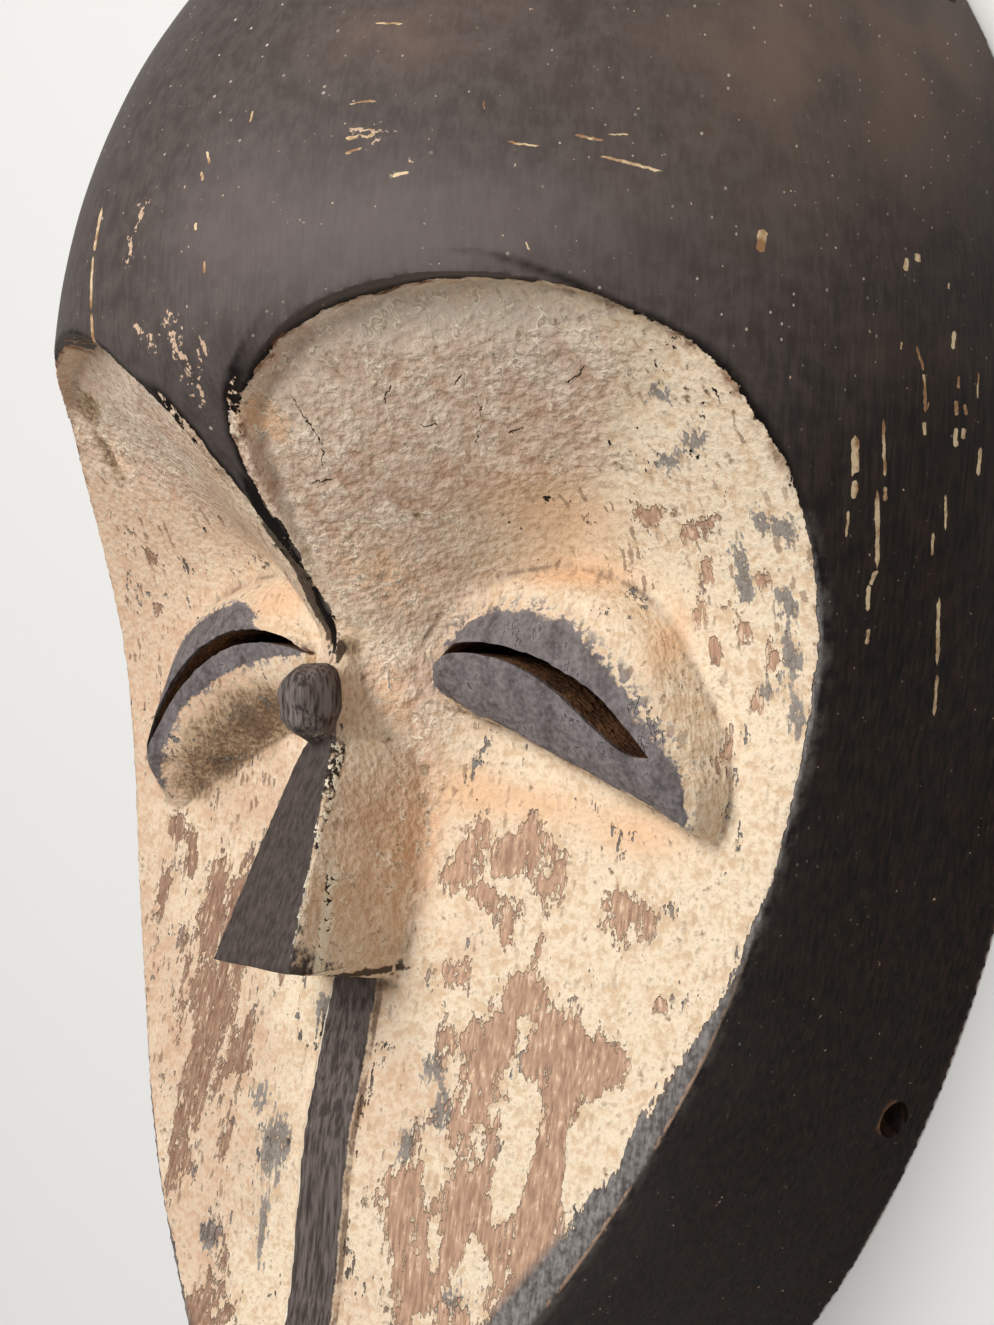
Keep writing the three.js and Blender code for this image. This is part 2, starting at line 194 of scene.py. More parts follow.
@dataclass(frozen=True)
class BlockForm:
    """The outer block: leaning side walls below, and the hood's dome over the forehead."""

    half_width: float = 95.0
    widest_y: float = 29.0
    crown_y: float = 163.0
    chin_y: float = -163.0
    crown_fullness: float = 2.2
    chin_pointedness: float = 0.67
    side_lean: float = 0.28
    chin_lean: float = 0.33
    hood_height: float = 104.0
    hood_crest_y: float = 51.0
    hood_profile: float = 1.94
    hood_section: float = 2.15
    centre_y: float = 11.0
    hood_fades_y: float = -25.0
    hood_whole_y: float = 55.0

    def wall(self, y: np.ndarray, z: np.ndarray) -> np.ndarray:
        """Give the half width of the leaning wall at a height, negative past its ends.

        Args:
            y: Place up the face, in millimetres.
            z: Height, in millimetres.

        Returns:
            The half width.
        """
        side = self.half_width - self.side_lean * z
        down = (self.widest_y - y) / (self.widest_y - self.chin_y - self.chin_lean * z)
        up = (y - self.widest_y) / (self.crown_y - self.widest_y)
        low = side * np.clip(1.0 - down**2, 0.0, 1.0) ** self.chin_pointedness
        fullness = self.crown_fullness
        high = side * np.clip(1.0 - np.clip(up, 0.0, 1.0) ** fullness, 0.0, 1.0) ** (1.0 / fullness)
        width = np.where(y < self.widest_y, low, high)
        return np.where((y < self.widest_y) & (down >= 1.0) | (up >= 1.0), -1.0, width)

    def crest(self, y: np.ndarray) -> np.ndarray:
        """Give the height of the hood's middle line."""
        t = np.clip((y - self.hood_crest_y) / (self.crown_y - self.hood_crest_y), 0.0, 1.0)
        return self.hood_height * np.clip(1.0 - t**self.hood_profile, 0.0, 1.0) ** (1.0 / self.hood_profile)

    def half_width_at(self, y: np.ndarray, z: np.ndarray) -> np.ndarray:
        """Give the half width of the whole outer form at a height.

        Args:
            y: Place up the face, in millimetres.
            z: Height, in millimetres.

        Returns:
            The half width, negative where there is nothing.
        """
        rim = self.wall(y, np.zeros_like(y))
        crest = np.maximum(self.crest(y), 1e-6)
        inside = np.clip(1.0 - np.clip(z / crest, 0.0, 1.0) ** self.hood_section, 0.0, 1.0)
        hood = np.where((rim < 0) | (z >= crest), -1.0, rim * inside ** (1.0 / self.hood_section))
        wall = self.wall(y, z)
        share = smoothstep(self.hood_fades_y, self.hood_whole_y, y)
        blended = mix(wall, np.maximum(0.0, hood), share)
        return np.where(share >= 1.0, hood, np.where(share <= 0.0, wall, blended))

    def radius(self, angle: np.ndarray, z: np.ndarray, half_width: Callable) -> np.ndarray:
        """Find, by halving, how far out the outline lies along each spoke of a level.

        Args:
            angle: Turn of each spoke from +X, in radians.
            z: Height of each spoke.
            half_width: Function of y and z that gives the outline's half width.

        Returns:
            The length of each spoke.
        """
        near = np.zeros_like(angle)
        far = np.full_like(angle, 260.0)
        for _ in range(26):
            r = (near + far) / 2.0
            y = self.centre_y + r * np.sin(angle)
            inside = np.abs(r * np.cos(angle)) < half_width(y, z)
            near = np.where(inside, r, near)
            far = np.where(inside, far, r)
        return near

    def inner_half_width(self, wall: float) -> Callable:
        """Give the outline function of the hollow, drawn in from the outer form by the wall.

        Args:
            wall: How thick the wall is.

        Returns:
            Function of y and z that gives the half width.
        """
        reach = self.crown_y - self.centre_y

        def half_width(y: np.ndarray, z: np.ndarray) -> np.ndarray:
            outer_y = self.centre_y + (y - self.centre_y) * reach / (reach - wall)
            return self.half_width_at(outer_y, z * self.hood_height / (self.hood_height - wall)) - wall

        return half_width


@dataclass(frozen=True)
class FaceForm:
    """The sunk heart-shaped face, and the peak of the hood that runs down between its lobes."""

    block: BlockForm
    peak_tip_y: float = 2.0
    peak_tip_z: float = 67.5
    peak_blend: float = 52.0
    floor_z: float = 50.0
    floor_low_y: float = -7.0
    lobe_step: float = 3.4
    peak_section: float = 2.15
    chin_slope: float = 0.38
    chin_bend: float = 28.3
    brow_bend: float = 130.0
    cheek_rise: float = 6.0
    socket_at: tuple[float, float] = (40.0, 14.0)
    socket_half: tuple[float, float] = (20.0, 10.0)
    socket_depth: float = 3.0
    thickness: float = 10.5

    def peak_crest(self, y: np.ndarray) -> np.ndarray:
        """Give the height of the peak's middle line."""
        t = np.clip((y - self.peak_tip_y + 1.0) / self.peak_blend, 0.0, 1.0)
        return mix(self.peak_tip_z, self.block.hood_height, np.sin(t * math.pi / 2.0) ** 1.5)

    def peak(self, x: np.ndarray, y: np.ndarray) -> np.ndarray:
        """Give the height of the wood between and above the lobes.

        Args:
            x: Place across, in millimetres.
            y: Place up the face, in millimetres.

        Returns:
            The height.
        """
        width = np.maximum(1.0, self.block.wall(y, np.zeros_like(y)))
        share = np.minimum(1.0, np.abs(x) / width)
        return self.peak_crest(y) * (1.0 - share**self.peak_section) ** (1.0 / self.peak_section)

    def floor(self, y: np.ndarray) -> np.ndarray:
        """Give the height of the face along its side edges.

        Args:
            y: Place up the face, in millimetres.

        Returns:
            The height.
        """
        up = y - self.floor_low_y
        low = self.floor_z + np.hypot(self.chin_slope * up, self.chin_bend) - self.chin_bend
        return np.where(up > 0, self.floor_z + up * up / self.brow_bend, low)

    def face(self, x: np.ndarray, y: np.ndarray) -> np.ndarray:
        """Give the height of the face itself, with its rounded middle and sunk eye sockets.

        Args:
            x: Place across, in millimetres.
            y: Place up the face, in millimetres.

        Returns:
            The height.
        """
        brow = self.peak_crest(y) - self.lobe_step * smoothstep(4.0, 32.0, y) - self.floor(y)
        cheek = self.cheek_rise * smoothstep(-114.0, -74.0, y)
        rise = mix(cheek, brow, smoothstep(-24.0, self.peak_tip_y, y))
        wide = mix(24.0, 70.0, np.clip((y - 6.0) / 40.0, 0.0, 1.0))
        narrow = mix(62.0, 24.0, smoothstep(-64.0, 2.0, y))
        spread = np.where(y > 6.0, wide, narrow)
        across = np.cos(np.minimum(1.0, np.abs(x) / spread) * math.pi / 2.0) ** 2
        aside = (np.abs(x) - self.socket_at[0]) / self.socket_half[0]
        above = (y - self.socket_at[1]) / self.socket_half[1]
        return self.floor(y) + rise * across - self.socket_depth * np.exp(-(aside**2) - above**2)

    def underside(self, x: np.ndarray, y: np.ndarray) -> np.ndarray:
        """Give the height of the hollow's roof behind the face."""
        back = 5.0 * smoothstep(1.0, 21.0, y)
        return np.minimum(self.face(x * 1.12, y - back), self.peak(x, y)) - self.thickness

    def outline(self) -> np.ndarray:
        """Draw the heart: down the peak's side, round the lobe, then out past the walls and chin.

        Returns:
            The corners in order, one per row.
        """
        lobe = smooth_path(
            [(0, 2), (1.6, 13), (3.6, 24), (7.2, 36), (13, 42.6), (22, 49), (33, 53), (46, 54.4), (59, 52.3),
             (70, 46.5), (78, 38.5), (84, 29)],
            10,
            closed=False,
        )
        right = np.concatenate([lobe, [(115.0, 6.0), (115.0, -173.0)]])
        left = right[:0:-1] * np.array([-1.0, 1.0])
        return np.concatenate([right, left])


@dataclass(frozen=True)
class EyeForm:
    """One raised almond eye: its outlines in plan and how it swells."""

    name: str
    base: tuple[tuple[float, float], ...]
    lid: tuple[tuple[float, float], ...]
    spine: tuple[tuple[float, float], ...]
    slit_upper: tuple[tuple[float, float], ...]
    slit_lower: tuple[tuple[float, float], ...]
    lower_run: float
    lower_edge_z: float
    top_z: float = 60.6

    def base_outline(self) -> np.ndarray:
        """Draw the crease round the foot of the eye."""
        return smooth_path(self.base, 8, closed=True)

    def lid_outline(self) -> np.ndarray:
        """Draw the edge of the dark stain on the lids."""
        return smooth_path(self.lid, 8, closed=True)

    def slit_outline(self) -> np.ndarray:
        """Draw the slit, along its upper lip and back along its lower lip.

        Returns:
            The corners in order, one per row.
        """
        upper = smooth_path(self.slit_upper, 10, closed=False)
        lower = smooth_path(self.slit_lower, 10, closed=False)
        return np.concatenate([upper, lower[::-1][1:-1]])


RIGHT_EYE = EyeForm(
    name="right_eye",
    base=((11, -4.5), (10.6, 0), (11.6, 4), (15, 8.6), (19, 12.6), (26, 15.4), (34.4, 16.6), (43, 15.2),
          (50.4, 11.6), (56, 6.2), (60.4, -1.2), (64, -8), (66, -14.5), (66.2, -20), (64.6, -25), (61, -24.4),
          (54, -21.4), (45, -18.2), (33, -13.8), (20, -8.8), (13.6, -6.6)),
    lid=((13, -4), (13.4, 2.4), (15.2, 4.8), (18.6, 7.4), (25, 9.8), (33, 10.2), (40, 8.2), (44.5, 5.4),
         (49.5, 1.4), (53, -2), (57, -6.7), (60, -10.4), (62.4, -14.5), (63.6, -19.2), (62.6, -22.6),
         (55.5, -19.8), (45, -16.4), (33, -12), (18, -6.4)),
    spine=((15, 1), (20, 3.4), (27, 3.2), (35, 0.8), (42, -2.4), (49, -6.8), (55, -11), (59, -14.6)),
    slit_upper=((15.6, 1.6), (19, 4), (27, 4), (35, 2.4), (42, -0.3), (48, -3.5), (53.5, -8.1), (58, -12.6)),
    slit_lower=((15.6, 1.6), (19, 2.4), (24, 2.2), (31, 0.8), (39.5, -3), (46.5, -8), (53, -12), (58, -12.6)),
    lower_run=2.0,
    lower_edge_z=57.0,
)
LEFT_EYE = EyeForm(
    name="left_eye",
    base=((-12, -5), (-12.4, 2), (-15, 7), (-19, 11.4), (-24, 14.4), (-29, 15.7), (-35, 15.9), (-43, 14.4),
          (-50, 11.6), (-56, 6.8), (-60.6, -0.6), (-64, -8.6), (-66, -16), (-66.4, -22.6), (-64.6, -28),
          (-60, -29.4), (-53, -25), (-43, -19.4), (-31, -13.8), (-20, -8.8)),
    lid=((-30.6, 9), (-36, 10.6), (-40.7, 10), (-46.6, 7.8), (-51.5, 4.7), (-54.8, 0.7), (-57, -4.2),
         (-58.8, -9), (-59.9, -14), (-60.6, -20), (-60.3, -25), (-58.6, -21.4), (-54, -15.2), (-49, -9),
         (-40, -3.6), (-31, -0.3), (-24, 0.9), (-17, 1.6), (-22, 3.8), (-27, 5.6), (-30.4, 7)),
    spine=((-16, 1.4), (-22, 4), (-29, 4.9), (-36, 3.9), (-44, 0.6), (-51, -4.6), (-56, -11), (-59, -17)),
    slit_upper=((-16, 1.6), (-21, 4.3), (-28, 5.8), (-36, 5.3), (-45, 2), (-52, -3.8), (-57, -10.6),
                (-60, -18.6)),
    slit_lower=((-16, 1.6), (-22, 3), (-29, 3.4), (-36, 2.4), (-43.6, -1), (-50, -5.8), (-55, -11.6),
                (-60, -18.6)),
    lower_run=6.0,
    lower_edge_z=56.6,
)


# Work at the bench: the few tools that every piece is made with


class Join(Enum):
    """How one solid acts on another."""

    ADD = "UNION"
    CUT = "DIFFERENCE"
    TRIM = "INTERSECT"


class Bench:
    """Blender's modelling operators, called the same way for every piece."""

    @staticmethod
    def rest() -> None:
        """Leave edit mode and let go of everything."""
        if bpy.context.object and bpy.context.object.mode != "OBJECT":
            bpy.ops.object.mode_set(mode="OBJECT")
        bpy.ops.object.select_all(action="DESELECT")

    @staticmethod
    def take(piece: bpy.types.Object) -> bpy.types.Object:
        """Select one piece alone and make it active.

        Args:
            piece: The piece.

        Returns:
            The same piece.
        """
        Bench.rest()
        piece.select_set(True)
        bpy.context.view_layer.objects.active = piece
        return piece

    @staticmethod
    def start(name: str, primitive: Callable, **settings: object) -> bpy.types.Object:
        """Add a primitive with nothing else selected, and name it.

        Args:
            name: Name of the piece.
            primitive: The operator that adds it.
            **settings: The operator's settings.

        Returns:
            The piece.
        """
        Bench.rest()
        primitive(**settings)
        piece = bpy.context.object
        piece.name = name
        piece.data.name = name
        return piece

    @staticmethod
    def read(rows: object, name: str, wide: int = 1, kind: type = np.float32) -> np.ndarray:
        """Read one value of all vertices, edges, corners or faces of a mesh.

        Args:
            rows: The mesh's vertices, edges, corners or faces.
            name: Name of the value.
            wide: How many numbers it has.
            kind: Their type.

        Returns:
            One value per row.
        """
        values = np.empty(len(rows) * wide, kind)
        rows.foreach_get(name, values)
        return values.reshape(-1, wide) if wide > 1 else values

    @staticmethod
    def store(piece: bpy.types.Object, values: dict[str, np.ndarray], domain: str) -> None:
        """Store named values on a piece, for its finish to read.

        Args:
            piece: The piece.
            values: The values by name.
            domain: What each value belongs to, POINT or CORNER.
        """
        for name, value in values.items():
            attribute = piece.data.attributes.new(name, "FLOAT", domain)
            attribute.data.foreach_set("value", np.asarray(value, np.float32))

    @staticmethod
    def points(piece: bpy.types.Object) -> np.ndarray:
        """Read a piece's vertices, in millimetres."""
        return Bench.read(piece.data.vertices, "co", 3).astype(float) / MM

    @staticmethod
    def place(piece: bpy.types.Object, points: np.ndarray) -> None:
        """Put a piece's vertices where they are told, in millimetres."""
        piece.data.vertices.foreach_set("co", (points * MM).astype(np.float32).ravel())
        piece.data.update()

    @staticmethod
    def normals(piece: bpy.types.Object) -> np.ndarray:
        """Read the directions that a piece's vertices face."""
        return Bench.read(piece.data.vertex_normals, "vector", 3).astype(float)

    @staticmethod
    def modify(piece: bpy.types.Object, kind: str, **settings: object) -> None:
        """Add one modifier, set it and apply it.

        Args:
            piece: The piece to change.
            kind: Blender's name for the modifier.
            **settings: The modifier's settings by name.
        """
        Bench.take(piece)
        modifier = piece.modifiers.new(kind.lower(), kind)
        for name, value in settings.items():
            setattr(modifier, name, value)
        bpy.ops.object.modifier_apply(modifier=modifier.name)

    @staticmethod
    def combine(piece: bpy.types.Object, other: bpy.types.Object, how: Join) -> None:
        """Let one piece act on another and use it up.

        Args:
            piece: The piece that stays.
            other: The piece that acts on it.
            how: Whether it is added, cut away or used to trim.
        """
        Bench.modify(piece, "BOOLEAN", operation=how.value, object=other, solver="MANIFOLD")
        Bench.discard(other)

    @staticmethod
    def discard(piece: bpy.types.Object) -> None:
        """Remove a piece and its mesh.

        Args:
            piece: The piece.
        """
        mesh = piece.data
        bpy.data.objects.remove(piece)
        bpy.data.meshes.remove(mesh)

    @staticmethod
    def close(piece: bpy.types.Object) -> None:
        """Merge doubled vertices, close what is open and turn every face outwards.

        Args:
            piece: The piece.
        """
        Bench.take(piece)
        bpy.ops.object.mode_set(mode="EDIT")
        bpy.ops.mesh.select_all(action="SELECT")
        bpy.ops.mesh.remove_doubles(threshold=0.00002)
        bpy.ops.mesh.fill_holes(sides=0)
        bpy.ops.mesh.select_all(action="SELECT")
        bpy.ops.mesh.normals_make_consistent(inside=False)
        bpy.ops.object.mode_set(mode="OBJECT")

    @staticmethod
    def thicken_up(piece: bpy.types.Object, top_z: float) -> None:
        """Pull a sheet up into a closed solid with a level top.

        Args:
            piece: The sheet.
            top_z: Height of the top, in millimetres.
        """
        count = len(piece.data.vertices)
        Bench.take(piece)
        bpy.ops.object.mode_set(mode="EDIT")
        bpy.ops.mesh.select_all(action="SELECT")
        bpy.ops.mesh.extrude_region_move(TRANSFORM_OT_translate={"value": (0.0, 0.0, 0.3)})
        bpy.ops.object.mode_set(mode="OBJECT")
        points = Bench.points(piece)
        points[count:, 2] = top_z
        Bench.place(piece, points)
        Bench.close(piece)

    @staticmethod
    def prism(name: str, outline: np.ndarray, low: float, high: float) -> bpy.types.Object:
        """Make an upright solid from a plan outline.

        Args:
            name: Name of the piece.
            outline: The corners in order, in millimetres.
            low: Height of its foot.
            high: Height of its top.

        Returns:
            The closed solid.
        """
        circle = bpy.ops.mesh.primitive_circle_add
        piece = Bench.start(name, circle, vertices=len(outline), radius=0.1, fill_type="NGON")
        Bench.place(piece, np.column_stack([outline, np.full(len(outline), low)]))
        Bench.thicken_up(piece, high)
        return piece

    @staticmethod
    def space_above(
        name: str, x_half: float, y_low: float, y_high: float, step: float, surface: Callable
    ) -> bpy.types.Object:
        """Make the solid that fills everything above a height function, over a rectangle.

        Args:
            name: Name of the piece.
            x_half: Half width of the rectangle.
            y_low: Its low end.
            y_high: Its high end.
            step: Spacing of the points of its underside.
            surface: Function of x and y that gives the height.

        Returns:
            The closed solid.
        """
        columns = int(2 * x_half / step)
        rows = int((y_high - y_low) / step)
        grid = bpy.ops.mesh.primitive_grid_add
        piece = Bench.start(name, grid, x_subdivisions=columns, y_subdivisions=rows, size=2.0)
        points = Bench.points(piece) * MM
        x = points[:, 0] * x_half
        y = (y_low + y_high) / 2.0 + points[:, 1] * (y_high - y_low) / 2.0
        Bench.place(piece, np.column_stack([x, y, surface(x, y)]))
        Bench.thicken_up(piece, CLEAR)
        return piece


# Sub-assemblies of the carving


@dataclass
class Block:
    """The rough block with its hood, before the face is cut into it."""

    form: BlockForm
    spokes: int = 240
    levels: int = 130
    skirt: float = 20.0

    def domed(
        self, name: str, half_width: Callable, height: float, spokes: int, levels: int
    ) -> bpy.types.Object:
        """Shape a ball into a dome whose level outlines come from a function.

        Args:
            name: Name of the piece.
            half_width: Function of y and z that gives the outline's half width.
            height: Height of the dome.
            spokes: How many sides the ball gets.
            levels: How many levels it gets.

        Returns:
            The dome, which runs on below the ground as a skirt.
        """
        ball = bpy.ops.mesh.primitive_uv_sphere_add
        piece = Bench.start(name, ball, segments=spokes, ring_count=levels, radius=1.0)
        p = Bench.points(piece) * MM
        flat = np.hypot(p[:, 0], p[:, 1])
        turn = np.arctan2(p[:, 1], p[:, 0])
        angle = turn + 0.2 * np.sin(2.0 * turn)
        buried = p[:, 2] < -1e-6
        level = np.where(buried, 0.0, p[:, 2] * height)
        full = np.where(flat < 1e-6, 0.0, self.form.radius(angle, level, half_width))
        radius = np.where(buried, full * flat, full)
        x = radius * np.cos(angle)
        y = self.form.centre_y + radius * np.sin(angle)
        Bench.place(piece, np.column_stack([x, y, np.where(buried, -self.skirt, level)]))
        return piece

    def build(self) -> bpy.types.Object:
        """Shape the outer block and trim it flat at the rim.

        Returns:
            The closed block.
        """
        piece = self.domed("block", self.form.half_width_at, self.form.hood_height, self.spokes, self.levels)
        ground = Bench.start(
            "ground", bpy.ops.mesh.primitive_cube_add,
            size=1.0, location=(0.0, 0.0, -self.skirt * MM), scale=(0.4, 0.6, 2.0 * self.skirt * MM),
        )
        bpy.ops.object.transform_apply(location=True, rotation=True, scale=True)
        Bench.combine(piece, ground, Join.CUT)
        return piece


@dataclass
class Face:
    """The cuts that sink the heart-shaped face and shape the peak above it."""

    form: FaceForm
    step: float = 1.5

    def carve(self, piece: bpy.types.Object) -> None:
        """Cut the peak and the face into the block.

        Args:
            piece: The piece.
        """
        form = self.form
        peak = Bench.space_above(
            "peak_cut", 48.0, -4.0, 60.0, self.step,
            lambda x, y: form.peak(x, y) + 2.0 * smoothstep(50.0, 58.0, y),
        )
        Bench.combine(piece, peak, Join.CUT)
        face = Bench.space_above("face_cut", 100.0, -168.0, 61.0, self.step, form.face)
        heart = Bench.prism("heart", form.outline(), 20.0, 160.0)
        Bench.combine(face, heart, Join.TRIM)
        Bench.combine(piece, face, Join.CUT)


@dataclass
class Nose:
    """The wedge nose with its flat front, the ridge above it and the knob."""

    face: FaceForm
    foot_z: float = 42.0
    # Place up the face, height of the front, half width of the front and half width of the foot
    root: tuple[float, float, float, float] = (-13.0, 72.0, 3.2, 13.0)
    tip: tuple[float, float, float, float] = (-48.5, 86.0, 9.2, 10.0)
    undercut: float = 6.5
    # The ridge's two ends up the face, their heights, and its half widths in front and at the foot
    ridge_ends: tuple[float, float] = (5.0, -16.0)
    ridge_z: tuple[float, float] = (69.0, 71.5)
    ridge_half: tuple[float, float] = (3.2, 9.0)
    knob_at: tuple[float, float, float] = (0.2, -6.2, 73.6)
    knob_half: tuple[float, float, float] = (4.9, 6.9, 6.2)
    # The knob's whittled flats: the way each one faces, and how far out it lies
    knob_flats: tuple[tuple[float, float, float, float], ...] = (
        (-1.0, 0.2, 0.35, 0.86), (-0.55, -0.8, 0.3, 0.9), (0.9, 0.1, 0.4, 0.86), (0.2, 0.9, 0.3, 0.88),
        (-0.1, 0.1, 1.0, 0.88), (0.5, -0.8, 0.5, 0.92), (-0.7, 0.7, 0.4, 0.93),
    )

    def wedge(self) -> bpy.types.Object:
        """Shape the wedge from a block, wider where it meets the cheeks.

        Returns:
            The closed solid.
        """
        piece = Bench.start("nose", bpy.ops.mesh.primitive_cube_add, size=2.0)
        bpy.ops.object.mode_set(mode="EDIT")
        bpy.ops.mesh.select_all(action="SELECT")
        bpy.ops.mesh.subdivide(number_cuts=15)
        bpy.ops.object.mode_set(mode="OBJECT")
        p = Bench.points(piece) * MM
        t = (1.0 - p[:, 1]) / 2.0
        front = (p[:, 2] + 1.0) / 2.0
        root_y, root_z, root_half, root_base = self.root
        tip_y, tip_z, tip_half, tip_base = self.tip
        half_front = mix(root_half, tip_half, t**0.8)
        half_base = mix(root_base, tip_base, t) + 2.5 * np.sin(math.pi * t)
        hollow = 0.7 * np.sin(math.pi * front) * np.sin(math.pi * t.clip(0.0, 1.0))
        half = mix(half_base, half_front, front) - hollow
        y = mix(root_y, tip_y, t) - self.undercut * t * t * (1.0 - front)
        z = mix(self.foot_z, mix(root_z, tip_z, t), front)
        Bench.place(piece, np.column_stack([p[:, 0] * half, y, z]))
        return piece

    def ridge(self) -> bpy.types.Object:
        """Shape the low ridge of wood that carries the knob.

        Returns:
            The closed solid.
        """
        piece = Bench.start("ridge", bpy.ops.mesh.primitive_cube_add, size=2.0)
        p = Bench.points(piece) * MM
        t = (1.0 - p[:, 1]) / 2.0
        front = p[:, 2] > 0
        x = p[:, 0] * np.where(front, *self.ridge_half)
        z = np.where(front, mix(*self.ridge_z, t), self.foot_z)
        Bench.place(piece, np.column_stack([x, mix(*self.ridge_ends, t), z]))
        return piece

    def knob(self) -> bpy.types.Object:
        """Whittle the knob: a ball cut to a few uneven flats, with a groove across it.

        Returns:
            The closed solid.
        """
        piece = Bench.start("knob", bpy.ops.mesh.primitive_ico_sphere_add, subdivisions=5, radius=1.0)
        p = Bench.points(piece) * MM
        for a, b, c, reach in self.knob_flats:
            n = np.array([a, b, c]) / math.sqrt(a * a + b * b + c * c)
            over = np.maximum(0.0, p @ n - reach)
            p = p - over[:, None] * n * 0.9
        groove = 0.10 * np.exp(-(((p[:, 1] + 0.25 + 0.25 * p[:, 0]) / 0.13) ** 2))
        p = p * (1.0 - groove)[:, None]
        Bench.place(piece, p * np.array(self.knob_half) + np.array(self.knob_at))
        return piece


@dataclass
class Stripe:
    """The flat raised band from under the nose to the chin."""

    face: FaceForm
    half_width: float = 5.0
    raise_: float = 1.3
    sunk: float = 4.0
    top_y: float = -52.0

    def build(self) -> bpy.types.Object:
        """Shape the band from a sheet under the face, pulled up, with slightly wandering edges.

        Returns:
            The closed solid.
        """
        grid = bpy.ops.mesh.primitive_grid_add
        piece = Bench.start("stripe", grid, x_subdivisions=12, y_subdivisions=160, size=2.0)
        p = Bench.points(piece) * MM
        y = mix(self.face.block.chin_y, self.top_y, (p[:, 1] + 1.0) / 2.0)
        side = np.sign(p[:, 0])
        wander = Roughness(9.0, 3).at(np.column_stack([side * 40.0, y, y * 0.0]))
        fine = Roughness(2.2, 5).at(np.column_stack([side * 40.0, y, y * 0.0]))
        x = p[:, 0] * (self.half_width + 0.22 * wander + 0.12 * fine)
        Bench.place(piece, np.column_stack([x, y, self.face.face(x, y) - self.sunk]))
        count = len(p)
        Bench.thicken_up(piece, CLEAR)
        q = Bench.points(piece)
        top = q[count:]
        q[count:, 2] = self.face.face(top[:, 0], top[:, 1]) + self.raise_
        Bench.place(piece, q)
        return piece


@dataclass
class Eye:
    """One raised almond eye, carved with the face and cut through by its slit."""

    form: EyeForm
    face: FaceForm
    around: int = 200
    foot_z: float = 42.0
    upper_run: float = 4.6
    upper_edge_z: float = 57.4
    # The cutters: where the slit's middle lies, then the scoop's middle, half sizes and turn
    slit_middle: tuple[float, float] = (38.0, -4.0)
    scoop_at: tuple[float, float, float] = (38.0, -2.0, 39.0)
    scoop_half: tuple[float, float, float] = (25.0, 10.0, 11.5)
    scoop_turn: float = -0.36

    def build(self) -> bpy.types.Object:
        """Shape the almond: rings that close in from the crease to the line of the slit.

        Returns:
            The closed solid.
        """
        base = self.form.base_outline()
        length = np.concatenate([[0.0], np.cumsum(np.hypot(*np.diff(np.vstack([base, base[:1]]), axis=0).T))])
        spots = np.linspace(0.0, length[-1], self.around + 1)
        closed = np.vstack([base, base[:1]])
        ring = np.column_stack([np.interp(spots, length, closed[:, k]) for k in (0, 1)])
        spine = smooth_path(self.form.spine, 16, closed=False)
        nearest = ((ring[:, None, :] - spine) ** 2).sum(2).argmin(1)
        target = spine[nearest]
        reach = np.hypot(*(target - ring).T)
        line_y = np.interp(ring[:, 0] * np.sign(spine[0, 0]), np.abs(spine[:, 0]), spine[:, 1])
        below = smoothstep(-2.5, 2.5, line_y - ring[:, 1])
        run = mix(self.upper_run, self.form.lower_run, below)
        edge_z = mix(self.upper_edge_z, self.form.lower_edge_z, below)
        steps = [0.0, 0.0, 0.18, 0.36, 0.55, 0.75, 0.9, 1.0]
        inner = np.linspace(0.0, 1.0, 12)[1:]
        rows = len(steps) + len(inner)
        grid = bpy.ops.mesh.primitive_grid_add
        piece = Bench.start(self.form.name, grid, x_subdivisions=self.around, y_subdivisions=rows - 1, size=2.0)
        p = np.empty((rows, self.around + 1, 3))
        foot = self.face.face(ring[:, 0], ring[:, 1]) - 0.6
        for k in range(rows):
            if k < len(steps):
                d = run * steps[k]
                swell = 1.0 - (1.0 - steps[k]) ** mix(1.7, 1.15, below)
                z = mix(foot, edge_z, swell)
            else:
                u = inner[k - len(steps)]
                d = run + np.maximum(0.0, reach - run) * u
                z = edge_z + (self.form.top_z - edge_z) * (1.0 - (1.0 - u) ** 1.8)
            share = np.clip(d / np.maximum(reach, 1e-6), 0.0, 1.0)[:, None]
            p[k, :, :2] = ring + (target - ring) * share
            p[k, :, 2] = z
        p[0, :, 2] = self.foot_z
        Bench.place(piece, p.reshape(-1, 3))
        Bench.close(piece)
        return piece

    def slit(self) -> bpy.types.Object:
        """Make the cutter for the slit, with a slightly ragged lip.

        Returns:
            The cutter.
        """
        outline = self.form.slit_outline()
        ragged = Roughness(1.1, 11).at(np.column_stack([outline, outline[:, 0] * 0.0]))
        middle = np.array([self.slit_middle[0] * np.sign(outline[0, 0]), self.slit_middle[1]])
        away = outline - middle
        away = away / np.maximum(np.hypot(*away.T), 1e-6)[:, None]
        aside = np.abs(outline[:, 0])
        ends = np.clip(np.minimum(aside - 15.0, 61.0 - aside) / 6.0, 0.0, 1.0)
        return Bench.prism("slit", outline + away * (0.22 * ragged * ends)[:, None], 10.0, 90.0)

    def scoop(self) -> bpy.types.Object:
        """Make the cutter for the scoop behind the eye.

        Returns:
            The cutter.
        """
        side = math.copysign(1.0, self.form.base[0][0])
        ball = bpy.ops.mesh.primitive_uv_sphere_add
        piece = Bench.start("scoop", ball, segments=48, ring_count=24, radius=1.0)
        p = Bench.points(piece) * MM * np.array(self.scoop_half)
        turn = side * self.scoop_turn
        x = p[:, 0] * math.cos(turn) - p[:, 1] * math.sin(turn)
        y = p[:, 0] * math.sin(turn) + p[:, 1] * math.cos(turn)
        aside, up, high = self.scoop_at
        Bench.place(piece, np.column_stack([x + side * aside, y + up, p[:, 2] + high]))
        return piece


